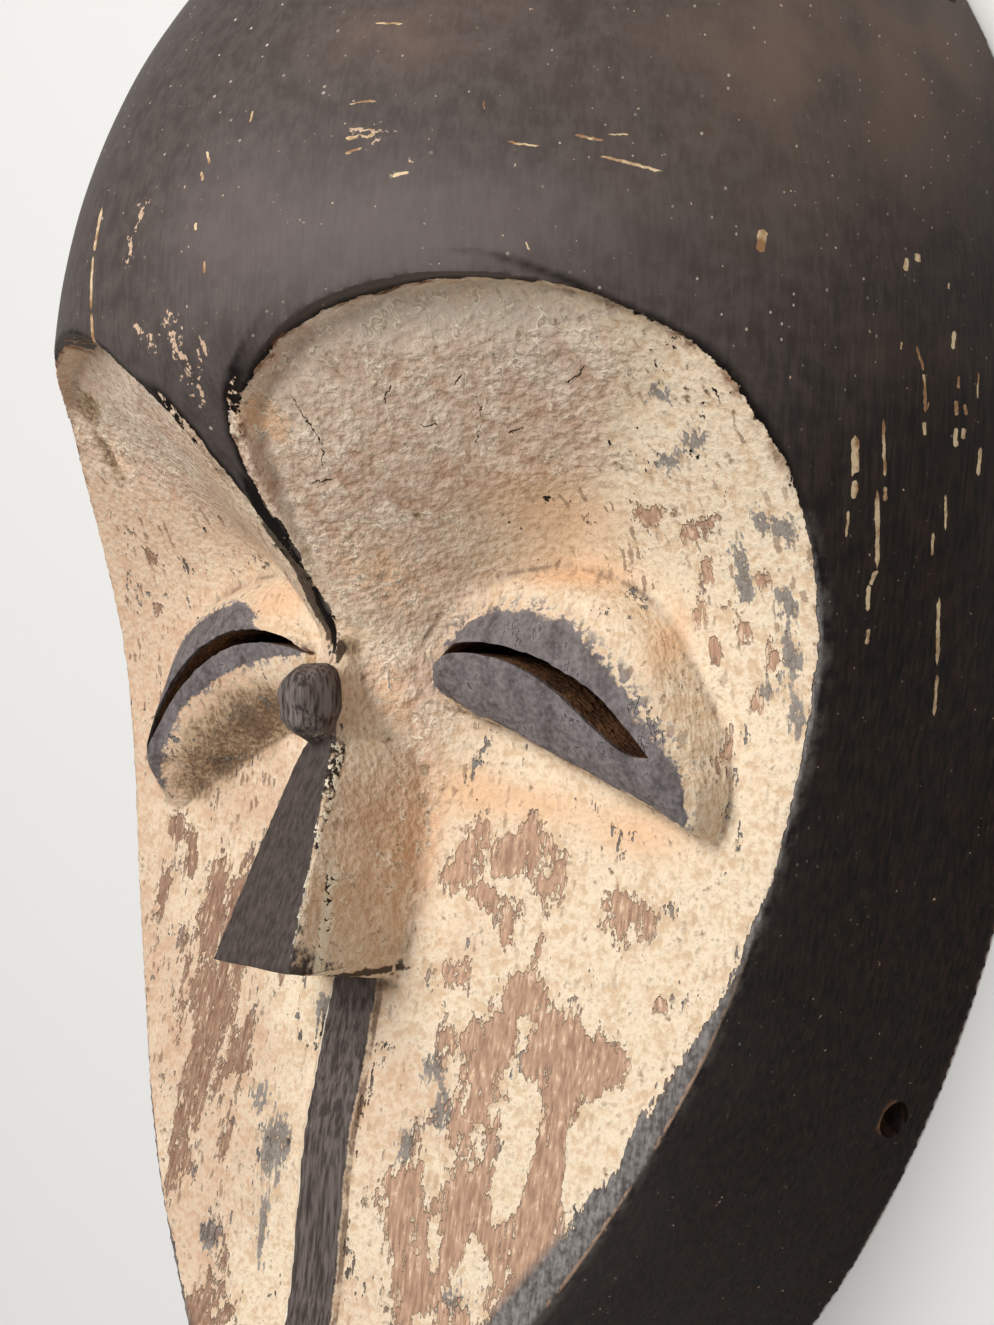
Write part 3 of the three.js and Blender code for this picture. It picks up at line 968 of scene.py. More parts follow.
@dataclass
class Hollow:
    """The hollow back, gouged out to a wall of about ten millimetres, and the cord holes."""

    block: Block
    face: FaceForm
    wall: float = 10.0
    hole_places: tuple[tuple[float, float], ...] = ((75, -75), (75, 112), (-75, -75), (-75, 112))
    hole_radius: float = 3.0
    hole_z: float = 8.5
    drill_length: float = 60.0
    drilled_from_y: float = 18.0

    def cutter(self) -> bpy.types.Object:
        """Shape the cutter for the hollow: a smaller dome, cut off under the face.

        Returns:
            The cutter.
        """
        form = self.block.form
        height = form.hood_height - self.wall
        piece = self.block.domed("hollow", form.inner_half_width(self.wall), height, 120, 56)
        roof = Bench.space_above("roof", 95.0, -163.0, 64.0, 3.0, self.face.underside)
        Bench.combine(piece, roof, Join.CUT)
        return piece

    def holes(self) -> list[bpy.types.Object]:
        """Make the drills for the cord holes near the rim.

        Returns:
            The drills, one per hole.
        """
        drills = []
        for x, y in self.hole_places:
            drill = Bench.start(
                "drill", bpy.ops.mesh.primitive_cylinder_add,
                vertices=28, radius=self.hole_radius * MM, depth=self.drill_length * MM,
                location=(x * MM, y * MM, self.hole_z * MM),
                rotation=(0.0, math.pi / 2.0, math.atan2(y - self.drilled_from_y, x)),
            )
            bpy.ops.object.transform_apply(location=True, rotation=True, scale=True)
            drills.append(drill)
        return drills


# Where the paint, the wear and the scratches lie, as soft spots in plan, in millimetres:
# middle x, middle y, half width, half height


@dataclass(frozen=True)
class Spots:
    """One kind of mark on the surface: where there is more of it, and where there is less."""

    name: str
    more: tuple[tuple[float, float, float, float], ...]
    less: tuple[tuple[float, float, float, float], ...] = ()

    def at(self, points: np.ndarray) -> np.ndarray:
        """Give how much of the mark each point has, about 1 in the middle of a spot.

        Args:
            points: Points in millimetres, one per row.

        Returns:
            One weight per point.
        """
        total = sum(blob(points, *spot) for spot in self.more)
        for spot in self.less:
            total = total - 1.3 * blob(points, *spot)
        return np.clip(total, -0.6, 1.25)


LOSS = Spots(
    "loss",
    ((27, -31, 9.0, 6.4), (16, -34, 3.1, 4.0), (49, -37, 5.0, 4.6), (35, -35, 2.8, 5.0), (20, -50, 3.8, 3.0),
     (33, -51, 4.9, 3.4), (37, -60, 14.0, 6.0), (28, -66, 5.5, 7.6), (42, -73, 3.6, 10.4),
     (27, -86, 14.0, 9.6), (39, -90, 5.4, 5.7), (23, -97, 4.0, 4.6), (49, -61, 4.0, 4.4),
     (47, -70, 2.2, 3.6), (18, -88, 3.4, 6.0), (28, -43, 1.2, 2.4), (23, -37, 2.6, 2.6), (34, -43, 1.0, 2.6),
     (42, -79, 3.0, 8.0), (57, -50, 1.4, 1.8), (-44, -60, 7.6, 20.0), (-37, -50, 5.0, 9.0),
     (-39, -75, 4.0, 9.0), (-29, -71, 5.6, 6.2), (-40, -92, 2.6, 5.2), (-28, -86, 2.0, 3.4),
     (-61, -33, 2.9, 2.7), (30, -112, 12.0, 12.0), (-24, -118, 7.0, 12.0), (10, -132, 5.0, 9.0),
     (61, 21, 2.4, 1.6), (63, 16, 1.8, 2.4), (55, 24, 3.7, 1.3), (60, 9, 1.9, 2.6), (62, 4, 1.5, 2.4),
     (68, 7, 1.6, 2.0), (66, 11, 1.5, 2.4), (64, 22, 1.6, 2.0), (-68, 9, 1.8, 2.6), (-66, 20, 2.0, 1.6),
     (65, -11.5, 0.8, 3.6), (-55, -38, 2.2, 5.0), (72, 15, 1.6, 2.4), (73, 2, 1.4, 2.6), (70, -4, 1.4, 2.0),
     (-62, -48, 2.4, 8.0), (-52, -96, 3.0, 8.0), (-20, -56, 1.4, 3.0), (-47, -45, 2.0, 6.0),
     (-33, -62, 1.6, 5.0)),
    ((37, -76, 2.8, 10.2), (32, -93, 2.4, 3.8), (49, -72, 4.4, 6.6), (26, -35, 3.6, 1.6),
     (33, -64, 2.0, 2.6), (22, -80, 1.6, 3.0), (-45, -72, 1.6, 3.0), (34, -58, 1.2, 4.0), (24, -92, 1.4, 4.0)),
)
GREY = Spots(
    "grey",
    ((-13, -84, 4.6, 7.0), (-15, -98, 3.0, 6.4), (-28, -102, 3.0, 3.4), (19, -65, 2.3, 3.4),
     (22, -71, 2.1, 4.2), (16, -78, 2.4, 3.6), (-7, -59, 3.0, 3.2), (27, -99, 6.2, 4.0), (41, -94, 5.6, 5.8),
     (74, 22, 2.6, 2.4), (69, 17, 2.0, 2.7), (69, 13, 2.2, 2.8), (76, 11, 2.8, 3.0), (76, 3, 2.4, 3.9),
     (77, -6, 2.2, 3.4), (78, 21, 1.8, 2.4), (72, -2, 2.0, 2.6), (61, 31, 3.0, 1.6), (66, 34, 2.6, 1.7),
     (62, 40, 2.6, 1.9), (-20, -76, 2.4, 3.0), (20, -108, 5.0, 5.0)),
)
# Orange was rubbed twice over the spot beside the peak, so that one is laid twice
ORANGE = Spots(
    "orange",
    ((38, 25, 12.0, 8.0), (38, 15.2, 12.0, 2.4), (56, 5, 3.0, 7.0), (50, -25, 11.0, 5.0),
     (18, -20, 6.0, 5.0), (7, -4, 3.0, 6.0), (10, -30, 4.0, 16.0), (12, 14, 7.0, 7.0), (9, 37, 2.6, 3.2),
     (9, 37, 2.6, 3.2), (-26, 11.0, 9.0, 4.6), (-64, 38, 3.5, 4.0), (30, -22, 10.0, 4.0)),
)
TAN = Spots(
    "tan",
    ((30, 40, 20.0, 14.0), (16, 42, 9.0, 9.0), (7, 34, 5.0, 12.0), (50, 46, 16.0, 6.0), (40, 37, 12.0, 7.5),
     (13, 18, 10.0, 16.0), (10, -26, 3.2, 20.0), (-54, 42, 20.0, 9.0), (-32, 40, 18.0, 10.0),
     (8, -4, 5.0, 5.0)),
    ((66, 30, 12.0, 16.0), (42, 25, 8.0, 4.0)),
)
# Dirt on the face, and one spot of painted shadow just under the nose
DIRT_AND_SHADOW = Spots(
    "dirt_and_shadow",
    ((-28, -8, 5.0, 3.4), (-36, -9, 5.0, 3.2), (-35, -13, 5.0, 3.0), (-43, -15, 5.0, 4.0),
     (-48, -20, 4.4, 3.6), (-54, -24.5, 3.0, 2.6), (2.6, 3.0, 1.2, 1.6), (9.7, -17.4, 0.6, 0.7),
     (-63, 47, 4.0, 2.0), (-66, 39, 1.4, 3.0), (2.0, -53.5, 5.0, 1.2)),
    ((-27, -15, 5.0, 1.6), (-39, -22, 4.0, 1.6)),
)
# The black of the groove between the left cheek and the forehead, partly black paint and partly painted shadow,
# and a painted shadow line under the nose
SOOT_AND_SHADOW = Spots(
    "soot_and_shadow",
    ((0.6, 25, 0.8, 3.4), (-0.8, 20, 1.2, 3.6), (-1.6, 15, 1.5, 3.6), (-2.4, 10, 1.6, 3.4),
     (-0.8, 5.5, 1.4, 3.0), (2.0, 2.0, 1.0, 2.0), (-0.2, 15, 1.2, 4.0), (0.6, 23, 1.0, 3.0),
     (3.5, -50.0, 6.5, 0.7), (3.5, -50.0, 6.5, 0.5)),
)
DUST = Spots(
    "dust",
    ((-1.8, 50.7, 2.4, 3.0), (-7.2, 48.6, 1.5, 1.4), (4.7, 47.1, 1.8, 2.0), (1.0, 42.4, 2.6, 3.6),
     (-12.6, 70.0, 1.7, 3.6), (-14.0, 63.0, 1.8, 4.0), (31.0, 75.3, 3.4, 1.8), (-1.0, 46.5, 2.0, 2.0),
     (-10.0, 52.0, 1.2, 3.4)),
)
BROWNED = Spots("browned", ((36, 93, 16.0, 7.0), (82, 95, 20.0, 26.0), (89, 47, 4.0, 4.0)))
# A grey bloom on the front of the hood: partly from handling, partly painted sheen
BLOOM_AND_SHEEN = Spots("bloom_and_sheen", ((32, 62, 24.0, 9.0), (8, 66, 14.0, 14.0), (50, 62, 16.0, 7.0)))
ALL_SPOTS = (LOSS, GREY, ORANGE, TAN, DIRT_AND_SHADOW, SOOT_AND_SHADOW, DUST, BROWNED, BLOOM_AND_SHEEN)
LINE_NAMES = ("scratch_across", "scratch_along", "scratch_wide", "scratch_dark")
MARK_NAMES = (
    *[spots.name for spots in ALL_SPOTS],
    *("edge", "lids", "eye", "slit", "nose", "crumbs", "stripe", "worn", "hollow", "cavity"),
    *LINE_NAMES,
)

# Scratches down to pale wood: two ends (x, y, z), then the width
PALE_SCRATCHES = (
    (84.7, 35.0, 49.4, 84.6, 28.2, 48.6, 1.4), (84.6, 28.6, 48.6, 84.3, 25.7, 48.8, 1.1),
    (84.0, 24.3, 49.3, 83.6, 20.1, 49.2, 0.6), (86.6, 38.0, 44.8, 86.6, 28.7, 43.5, 0.7),
    (86.5, 28.1, 43.4, 86.4, 25.8, 43.1, 0.8), (85.9, 27.8, 44.8, 85.4, 15.8, 42.8, 0.9),
    (85.4, 16.2, 42.8, 84.6, 13.3, 43.8, 0.9), (84.7, 13.9, 43.9, 84.3, 9.8, 43.2, 0.9),
    (84.1, 7.5, 42.5, 83.8, 5.0, 42.3, 0.8), (88.5, 49.0, 39.1, 89.1, 45.3, 37.4, 0.6),
    (89.1, 45.8, 37.4, 89.2, 39.1, 36.8, 0.7), (89.3, 39.5, 36.8, 89.5, 41.0, 36.1, 0.6),
    (89.2, 38.1, 36.9, 89.2, 36.0, 36.5, 0.8), (88.7, 13.1, 29.3, 87.5, 2.0, 26.8, 0.9),
    (87.4, 1.3, 26.6, 86.5, -5.6, 25.2, 0.8), (89.1, 22.2, 32.8, 88.8, 18.5, 32.2, 0.7),
    (90.2, 28.1, 31.2, 89.7, 22.4, 30.1, 0.6), (90.6, 52.4, 30.6, 90.7, 49.3, 31.3, 0.9),
    (91.1, 45.7, 30.0, 91.1, 43.7, 29.9, 0.7), (91.0, 42.0, 30.5, 91.1, 39.6, 30.0, 0.9),
    (91.4, 41.7, 28.4, 91.5, 39.9, 27.8, 0.9), (91.1, 38.0, 29.9, 90.9, 34.9, 29.8, 1.2),
    (91.4, 38.1, 28.2, 91.3, 36.3, 28.2, 1.0), (92.2, 35.8, 23.8, 91.9, 31.1, 24.0, 1.0),
    (92.0, 47.0, 25.2, 92.0, 42.6, 25.1, 0.5), (89.9, 59.5, 31.3, 90.0, 58.4, 31.5, 0.5),
    (87.7, 49.2, 41.9, 87.8, 47.9, 42.0, 0.4), (76.6, 62.8, 62.3, 76.4, 59.2, 63.2, 1.5),
    (87.1, 61.9, 39.6, 87.2, 59.7, 40.3, 1.1), (87.6, 62.9, 37.4, 87.7, 61.5, 37.5, 1.3),
    (-27.4, 73.9, 97.8, -27.5, 65.3, 99.3, 1.3), (-27.6, 65.7, 99.2, -25.9, 55.8, 100.6, 1.1),
    (-26.0, 56.1, 100.6, -23.7, 48.5, 101.0, 1.1), (27.6, 93.4, 91.4, 32.4, 92.7, 90.1, 0.4),
    (27.3, 80.5, 96.1, 31.9, 80.5, 94.6, 0.35), (28.0, 75.0, 97.2, 32.8, 75.3, 95.7, 0.7),
    (30.0, 76.1, 96.3, 33.7, 76.0, 95.2, 0.3), (28.5, 72.6, 97.6, 31.1, 73.5, 96.6, 0.5),
    (36.0, 68.9, 95.7, 38.5, 69.3, 94.7, 0.6), (49.8, 73.2, 87.4, 54.0, 72.7, 84.7, 0.4),
    (57.2, 74.5, 81.6, 60.6, 73.7, 78.8, 0.5), (60.1, 71.5, 79.8, 67.0, 69.7, 73.2, 0.5),
    (60.6, 74.8, 78.4, 63.0, 75.0, 76.0, 0.3), (2.5, 65.7, 102.8, 2.7, 64.4, 103.0, 0.7),
    (5.1, 59.5, 103.5, 5.4, 57.5, 103.5, 0.7), (1.8, 73.7, 101.4, 2.7, 72.1, 101.8, 0.6),
    (2.2, 77.0, 100.6, 3.4, 74.6, 101.2, 0.6), (10.0, 82.2, 99.0, 10.1, 80.1, 99.5, 0.5),
    (53.9, 58.9, 87.2, 54.4, 57.6, 86.9, 0.35), (46.1, 79.6, 88.1, 46.4, 78.1, 88.2, 0.3),
)
# Dark cracks in the clay of the forehead, in the same form
DARK_CRACKS = (
    (14.1, 40.7, 93.4, 14.6, 33.0, 86.3, 0.5), (14.6, 33.3, 86.5, 12.6, 30.3, 84.9, 0.45),
    (27.9, 41.8, 86.1, 25.4, 38.9, 85.0, 0.55), (37.4, 40.4, 78.0, 36.5, 37.3, 75.0, 0.45),
    (36.6, 37.6, 75.1, 33.2, 33.6, 72.8, 0.4), (38.3, 35.5, 71.5, 41.0, 36.1, 70.5, 0.6),
    (49.5, 41.9, 72.5, 54.1, 43.9, 72.7, 0.6), (28.1, 36.1, 79.9, 30.8, 36.7, 78.5, 0.6),
    (9.5, 28.1, 84.4, 13.2, 28.7, 82.8, 0.6), (35.5, 41.4, 80.4, 37.4, 43.1, 80.8, 0.65),
)
# How far the clay's border is worn back on each cheek, by the place up the face
WORN_Y = (-130.0, -100.0, -85.0, -65.0, -50.0, -30.0, -5.0, 22.0, 30.0)
WORN_RIGHT = (9.0, 9.0, 7.5, 6.0, 3.2, 1.2, 1.6, 1.0, 0.4)
WORN_LEFT = (3.0, 2.0, 1.4, 1.0, 1.0, 1.0, 0.8, 0.6, 0.4)
# How far the clay climbs the step wall, by the place up the face
CLIMB_Y = (10.0, 18.0, 26.0, 32.0)
CLIMB = (0.4, 1.5, 3.1, 3.6)
# How far the white crumbs reach down the nose's side from its front, by the place up the face
CRUMBS_Y = (-48.0, -34.0, -30.0, -16.0)
CRUMBS_DOWN = (0.5, 0.7, 1.6, 3.0)


@dataclass
class Mask:
    """The whole mask, carved from one block, then marked with where its paint and wear lie."""

    voxel: float = 0.7
    triangles: int = 165000
    smooth_angle: float = 45.0
    soft_top_z: float = 102.9
    painted_nose: tuple[tuple[float, float], ...] = ((-3.2, -12.0), (-9.2, -48.7), (9.2, -48.7), (3.2, -12.0))
    block: BlockForm = BlockForm()

    @property
    def face(self) -> FaceForm:
        """Give the form of the face on this block."""
        return FaceForm(self.block)

    def carve(self) -> bpy.types.Object:
        """Carve the mask and return it as one closed piece.

        Returns:
            The carved mask.
        """
        face = self.face
        blank = Block(self.block)
        piece = blank.build()
        Face(face).carve(piece)
        nose = Nose(face)
        eyes = [Eye(RIGHT_EYE, face), Eye(LEFT_EYE, face)]
        stripe = Stripe(face).build()
        Bench.combine(stripe, blank.build(), Join.TRIM)
        raised = [stripe, nose.wedge(), nose.ridge(), nose.knob(), *[eye.build() for eye in eyes]]
        for part in raised:
            Bench.combine(piece, part, Join.ADD)
        Bench.modify(piece, "REMESH", mode="VOXEL", voxel_size=self.voxel * MM, adaptivity=0.0)
        Bench.modify(piece, "SMOOTH", factor=0.5, iterations=2)
        self.weather(piece)
        ratio = self.triangles / (2 * len(piece.data.polygons))
        Bench.modify(piece, "DECIMATE", decimate_type="COLLAPSE", ratio=ratio)
        hollow = Hollow(blank, face)
        cutters = [hollow.cutter(), *hollow.holes()]
        for eye in eyes:
            cutters += [eye.scoop(), eye.slit()]
        for cutter in cutters:
            Bench.combine(piece, cutter, Join.CUT)
        piece.name = "carved_mask"
        piece.data.name = "carved_mask"
        Bench.take(piece)
        bpy.ops.object.shade_smooth_by_angle(angle=math.radians(self.smooth_angle))
        return piece

    def edge_depth(self, p: np.ndarray, painted: bool = False) -> np.ndarray:
        """Measure how far each point lies inside the sunk face's border, negative on the hood and walls.

        Args:
            p: Points in millimetres, one per row.
            painted: Whether to follow the clay, which runs further out than the carving at the left temple.

        Returns:
            The distance in millimetres.
        """
        x, y, z = p.T
        heart = depth_inside(p, self.face.outline())
        level = self.face.face(x, y)
        if painted:
            # The clay climbs the step wall beside the groove and over the left temple
            groove = smoothstep(8.0, 14.0, y) * smoothstep(-14.0, -6.0, x) * smoothstep(66.0, 46.0, x)
            temple = smoothstep(-46.0, -56.0, x) * smoothstep(34.0, 44.0, y)
            above = z - level - np.where(x < -30.0, 5.0, np.interp(y, CLIMB_Y, CLIMB))
            grown = heart + 2.4 * groove + 4.5 * temple
            climbed = np.minimum(grown, -above * np.where(above < 0.0, 2.5, 0.7))
            heart = np.where((heart < 0.3) & (groove + temple > 0.0), climbed, grown)
        side = self.block.half_width_at(y, level) - np.abs(x)
        slope = self.block.half_width_at(y + 1.0, level) - self.block.half_width_at(y - 1.0, level)
        side = side / np.sqrt(1.0 + (slope / 2.0) ** 2)
        drop = level - z
        rolled = painted & (x < -56.0) & (y > 26.0)
        wall = np.where((drop > 0.6) & ~rolled, 0.6 - drop, 1000.0)
        return np.minimum(np.minimum(heart, side), np.where(heart > 0, wall, 1000.0))

    def weather(self, piece: bpy.types.Object) -> None:
        """Give the carved surface its unevenness: tool facets, a crumbled edge, crust and whittling.

        Args:
            piece: The piece.
        """
        p = Bench.points(piece)
        edge = self.edge_depth(p)
        clay = self.edge_depth(p, painted=True)
        on_face = smoothstep(0.0, 1.5, edge)
        facets = Roughness(34.0, 21).at(p) * 0.30 + Roughness(13.0, 22).at(p) * 0.13
        lift = (facets - 0.35) * (1.0 - on_face * 0.6)
        lift += Roughness(5.0, 23, (1.0, 1.6, 1.0)).at(p) * 0.05
        crumble = Roughness(2.3, 24).at(p) * 0.36 + Roughness(1.2, 25).at(p) * 0.18
        rim = np.exp(-(((clay - 0.5) / 1.6) ** 2))
        lift += crumble * (rim * smoothstep(24.0, 34.0, p[:, 1]) * smoothstep(-30.0, 0.0, p[:, 0]))
        crust = Roughness(2.8, 26, (1.5, 1.0, 1.0)).at(p) * 0.15 + Roughness(1.5, 27).at(p) * 0.10
        lift += crust * smoothstep(0.0, 1.5, clay) * (0.25 + 0.9 * np.clip(TAN.at(p), 0.0, 1.0))
        from_knob = np.hypot(p[:, 0] / Nose.knob_half[0], (p[:, 1] - Nose.knob_at[1]) / Nose.knob_half[1])
        knob = np.clip(1.6 - from_knob, 0.0, 1.0) * (p[:, 2] > 64.0)
        lift += Roughness(3.6, 28, (0.8, 1.2, 1.0)).at(p) * 0.7 * knob
        lift *= smoothstep(1.0, 14.0, p[:, 2])
        p = p + Bench.normals(piece) * lift[:, None]
        p[:, 2] = np.maximum(p[:, 2], 0.0) - np.maximum(p[:, 2] - self.soft_top_z, 0.0) * 0.6
        Bench.place(piece, p)

    def mark(self, piece: bpy.types.Object) -> None:
        """Store on the piece where its paint and wear lie, for the finish to read.

        Args:
            piece: The piece.
        """
        p = Bench.points(piece)
        x, y, z = p.T
        nose = depth_inside(p, np.array(self.painted_nose))
        from_knob = [(p[:, k] - Nose.knob_at[k]) / Nose.knob_half[k] for k in (0, 1)]
        round_knob = np.hypot(*from_knob)
        knob = np.minimum((1.15 - round_knob) * 4.0, z - 71.0)
        marks = {spots.name: spots.at(p) for spots in ALL_SPOTS}
        marks["edge"] = self.edge_depth(p, painted=True)
        marks["lids"] = self.lid_depth(p)
        eyes = (RIGHT_EYE, LEFT_EYE)
        marks["eye"] = np.maximum(*[depth_inside(p, eye.base_outline()) for eye in eyes])
        marks["slit"] = np.maximum(*[depth_inside(p, eye.slit_outline()) for eye in eyes])
        marks["nose"] = np.maximum(nose, knob)
        root_y, root_z = Nose.root[:2]
        tip_y, tip_z = Nose.tip[:2]
        front = mix(root_z, tip_z, np.clip((root_y - y) / (root_y - tip_y), 0.0, 1.0))
        reach = np.interp(y, CRUMBS_Y, CRUMBS_DOWN)
        drip = 1.5 - np.abs(front - z - 4.6 + (y + 30.0) * 0.12) - np.maximum(y + 32.0, 0.0)
        beside = (x > 0.0) & (nose < 0.5) & (x < 14.0) & (y > -54.0)
        marks["crumbs"] = np.where(beside, np.maximum(reach - (front - z), drip), -9.0)
        marks["stripe"] = np.minimum(Stripe.half_width + 0.1 - np.abs(x), Stripe.top_y + 0.5 - y)
        marks["worn"] = np.where(x > 0.0, np.interp(y, WORN_Y, WORN_RIGHT), np.interp(y, WORN_Y, WORN_LEFT))
        marks["hollow"] = np.where((round_knob < 1.6) & (z > 62.0), 0.0, self.hollowness(piece, p))
        marks["cavity"] = self.cavity(piece, p)
        Bench.store(piece, marks, "POINT")
        self.scratch(piece, p)

    @staticmethod
    def lid_depth(p: np.ndarray) -> np.ndarray:
        """Measure how far each point lies inside the stain on the lids, counted more at its crisp borders.

        Args:
            p: Points in millimetres, one per row.

        Returns:
            The distance in millimetres, positive inside.
        """
        right = depth_inside(p, RIGHT_EYE.lid_outline())
        spine = smooth_path(RIGHT_EYE.spine, 16, closed=False)
        crisp = p[:, 1] < np.interp(p[:, 0], spine[:, 0], spine[:, 1])
        left = depth_inside(p, LEFT_EYE.lid_outline())
        return np.maximum(np.where(crisp, right * 2.5 + 0.1, right), left * 2.0 + 0.8)

    @staticmethod
    def cavity(piece: bpy.types.Object, p: np.ndarray) -> np.ndarray:
        """Measure how sunk each point is among its neighbours, in millimetres, negative on an arris.

        Args:
            piece: The piece.
            p: Points in millimetres, one per row.

        Returns:
            The depth in millimetres.
        """
        a, b = Bench.read(piece.data.edges, "vertices", 2, np.int32).T
        degree = np.bincount(a, minlength=len(p)) + np.bincount(b, minlength=len(p))
        q = p.copy()
        for _ in range(5):
            near = [np.bincount(a, q[b, k], len(p)) + np.bincount(b, q[a, k], len(p)) for k in range(3)]
            q = 0.4 * q + 0.6 * np.column_stack(near) / np.maximum(degree, 1)[:, None]
        return np.clip(((q - p) * Bench.normals(piece)).sum(1), -1.0, 1.0)

    def hollowness(self, piece: bpy.types.Object, p: np.ndarray) -> np.ndarray:
        """Say which points lie in the hollow, 1 inside it and 0 on the outside.

        Args:
            piece: The piece.
            p: Points in millimetres, one per row.

        Returns:
            One value per point.
        """
        n = Bench.normals(piece)
        away = np.column_stack([p[:, 0], p[:, 1] - self.block.centre_y])
        facing = (away * n[:, :2]).sum(1) < 0.0
        wide = self.block.half_width_at(p[:, 1], np.maximum(p[:, 2], 0.0)) - np.abs(p[:, 0])
        inner = facing & (wide > 5.0) & (p[:, 2] < 45.0) & (n[:, 2] < 0.2)
        return np.where((n[:, 2] < -0.12) | inner, 1.0, 0.0)

    @staticmethod
    def scratch(piece: bpy.types.Object, p: np.ndarray) -> None:
        """Store each triangle's place along and across the scratch nearest to it.

        Args:
            piece: The piece.
            p: Points in millimetres, one per row.
        """
        lines = np.array(PALE_SCRATCHES + DARK_CRACKS)
        start, width = lines[:, :3], lines[:, 6]
        run = lines[:, 3:6] - start
        length = np.sqrt((run**2).sum(1))
        way = run / length[:, None]
        mesh = piece.data
        corner = Bench.read(mesh.loops, "vertex_index", kind=np.int32)
        sizes = Bench.read(mesh.polygons, "loop_total", kind=np.int32)
        normal = Bench.read(mesh.polygons, "normal", 3)
        owner = np.repeat(np.arange(len(sizes)), sizes)
        centre = np.column_stack([np.bincount(owner, p[corner, k]) / sizes for k in range(3)])
        best = np.full(len(centre), 6.0)
        nearest = np.full(len(centre), -1)
        for i in range(len(lines)):
            t = np.clip((centre - start[i]) @ way[i], 0.0, length[i])
            gap = np.sqrt(((centre - start[i] - t[:, None] * way[i]) ** 2).sum(1))
            nearest = np.where(gap < best, i, nearest)
            best = np.minimum(best, gap)
        line = nearest[owner]
        offset = p[corner] - start[line]
        side = np.cross(normal[owner], way[line])
        Bench.store(piece, {
            "scratch_across": (offset * side).sum(1) / np.maximum(np.sqrt((side**2).sum(1)), 1e-6),
            "scratch_along": (offset * way[line]).sum(1) / length[line],
            "scratch_wide": np.where(line < 0, 0.0, width[line]),
            "scratch_dark": np.where(line >= len(PALE_SCRATCHES), 1.0, 0.0),
        }, "CORNER")


# Finishes


def linear(code: str) -> tuple[float, float, float, float]:
    """Turn an sRGB hex colour into Blender's linear colour."""
    parts = [int(code[i : i + 2], 16) / 255.0 for i in (1, 3, 5)]
    return (*[c / 12.92 if c <= 0.04045 else ((c + 0.055) / 1.055) ** 2.4 for c in parts], 1.0)


def add(tree: bpy.types.NodeTree, kind: str, *values: object, out: str = "", **options: object) -> object:
    """Add one node, set it and link it.

    Args:
        tree: The node tree that it joins.
        kind: The node's type, without its ShaderNode prefix.
        *values: What goes into its inputs in order: numbers, hex colours or other nodes' outputs.
        out: Name of the wanted output, the first one if empty.
        **options: Inputs by name where the name starts with a capital, and the node's settings otherwise.

    Returns:
        The wanted output.
    """
    node = tree.nodes.new("ShaderNode" + kind)
    for name, value in options.items():
        if name[0].islower():
            setattr(node, name, value)
    given = list(zip([socket for socket in node.inputs if socket.enabled], values))
    named = [(name.replace("_", " "), value) for name, value in options.items() if name[0].isupper()]
    given += [(node.inputs[name], value) for name, value in named]
    for socket, value in given:
        if isinstance(value, bpy.types.NodeSocket):
            tree.links.new(value, socket)
        else:
            socket.default_value = linear(value) if isinstance(value, str) else value
    outputs = [socket for socket in node.outputs if socket.enabled]
    return node.outputs[out] if out else outputs[0] if outputs else None


SOFT = {"interpolation_type": "SMOOTHSTEP"}
COLOUR = {"data_type": "RGBA"}
TIMES = {"operation": "MULTIPLY"}
PLUS = {"operation": "ADD"}
MINUS = {"operation": "SUBTRACT"}
SIZE_OF = {"operation": "ABSOLUTE"}
GREATER = {"operation": "MAXIMUM"}
SCALED = {"operation": "MULTIPLY_ADD"}
FLAT = {"voronoi_dimensions": "2D"}


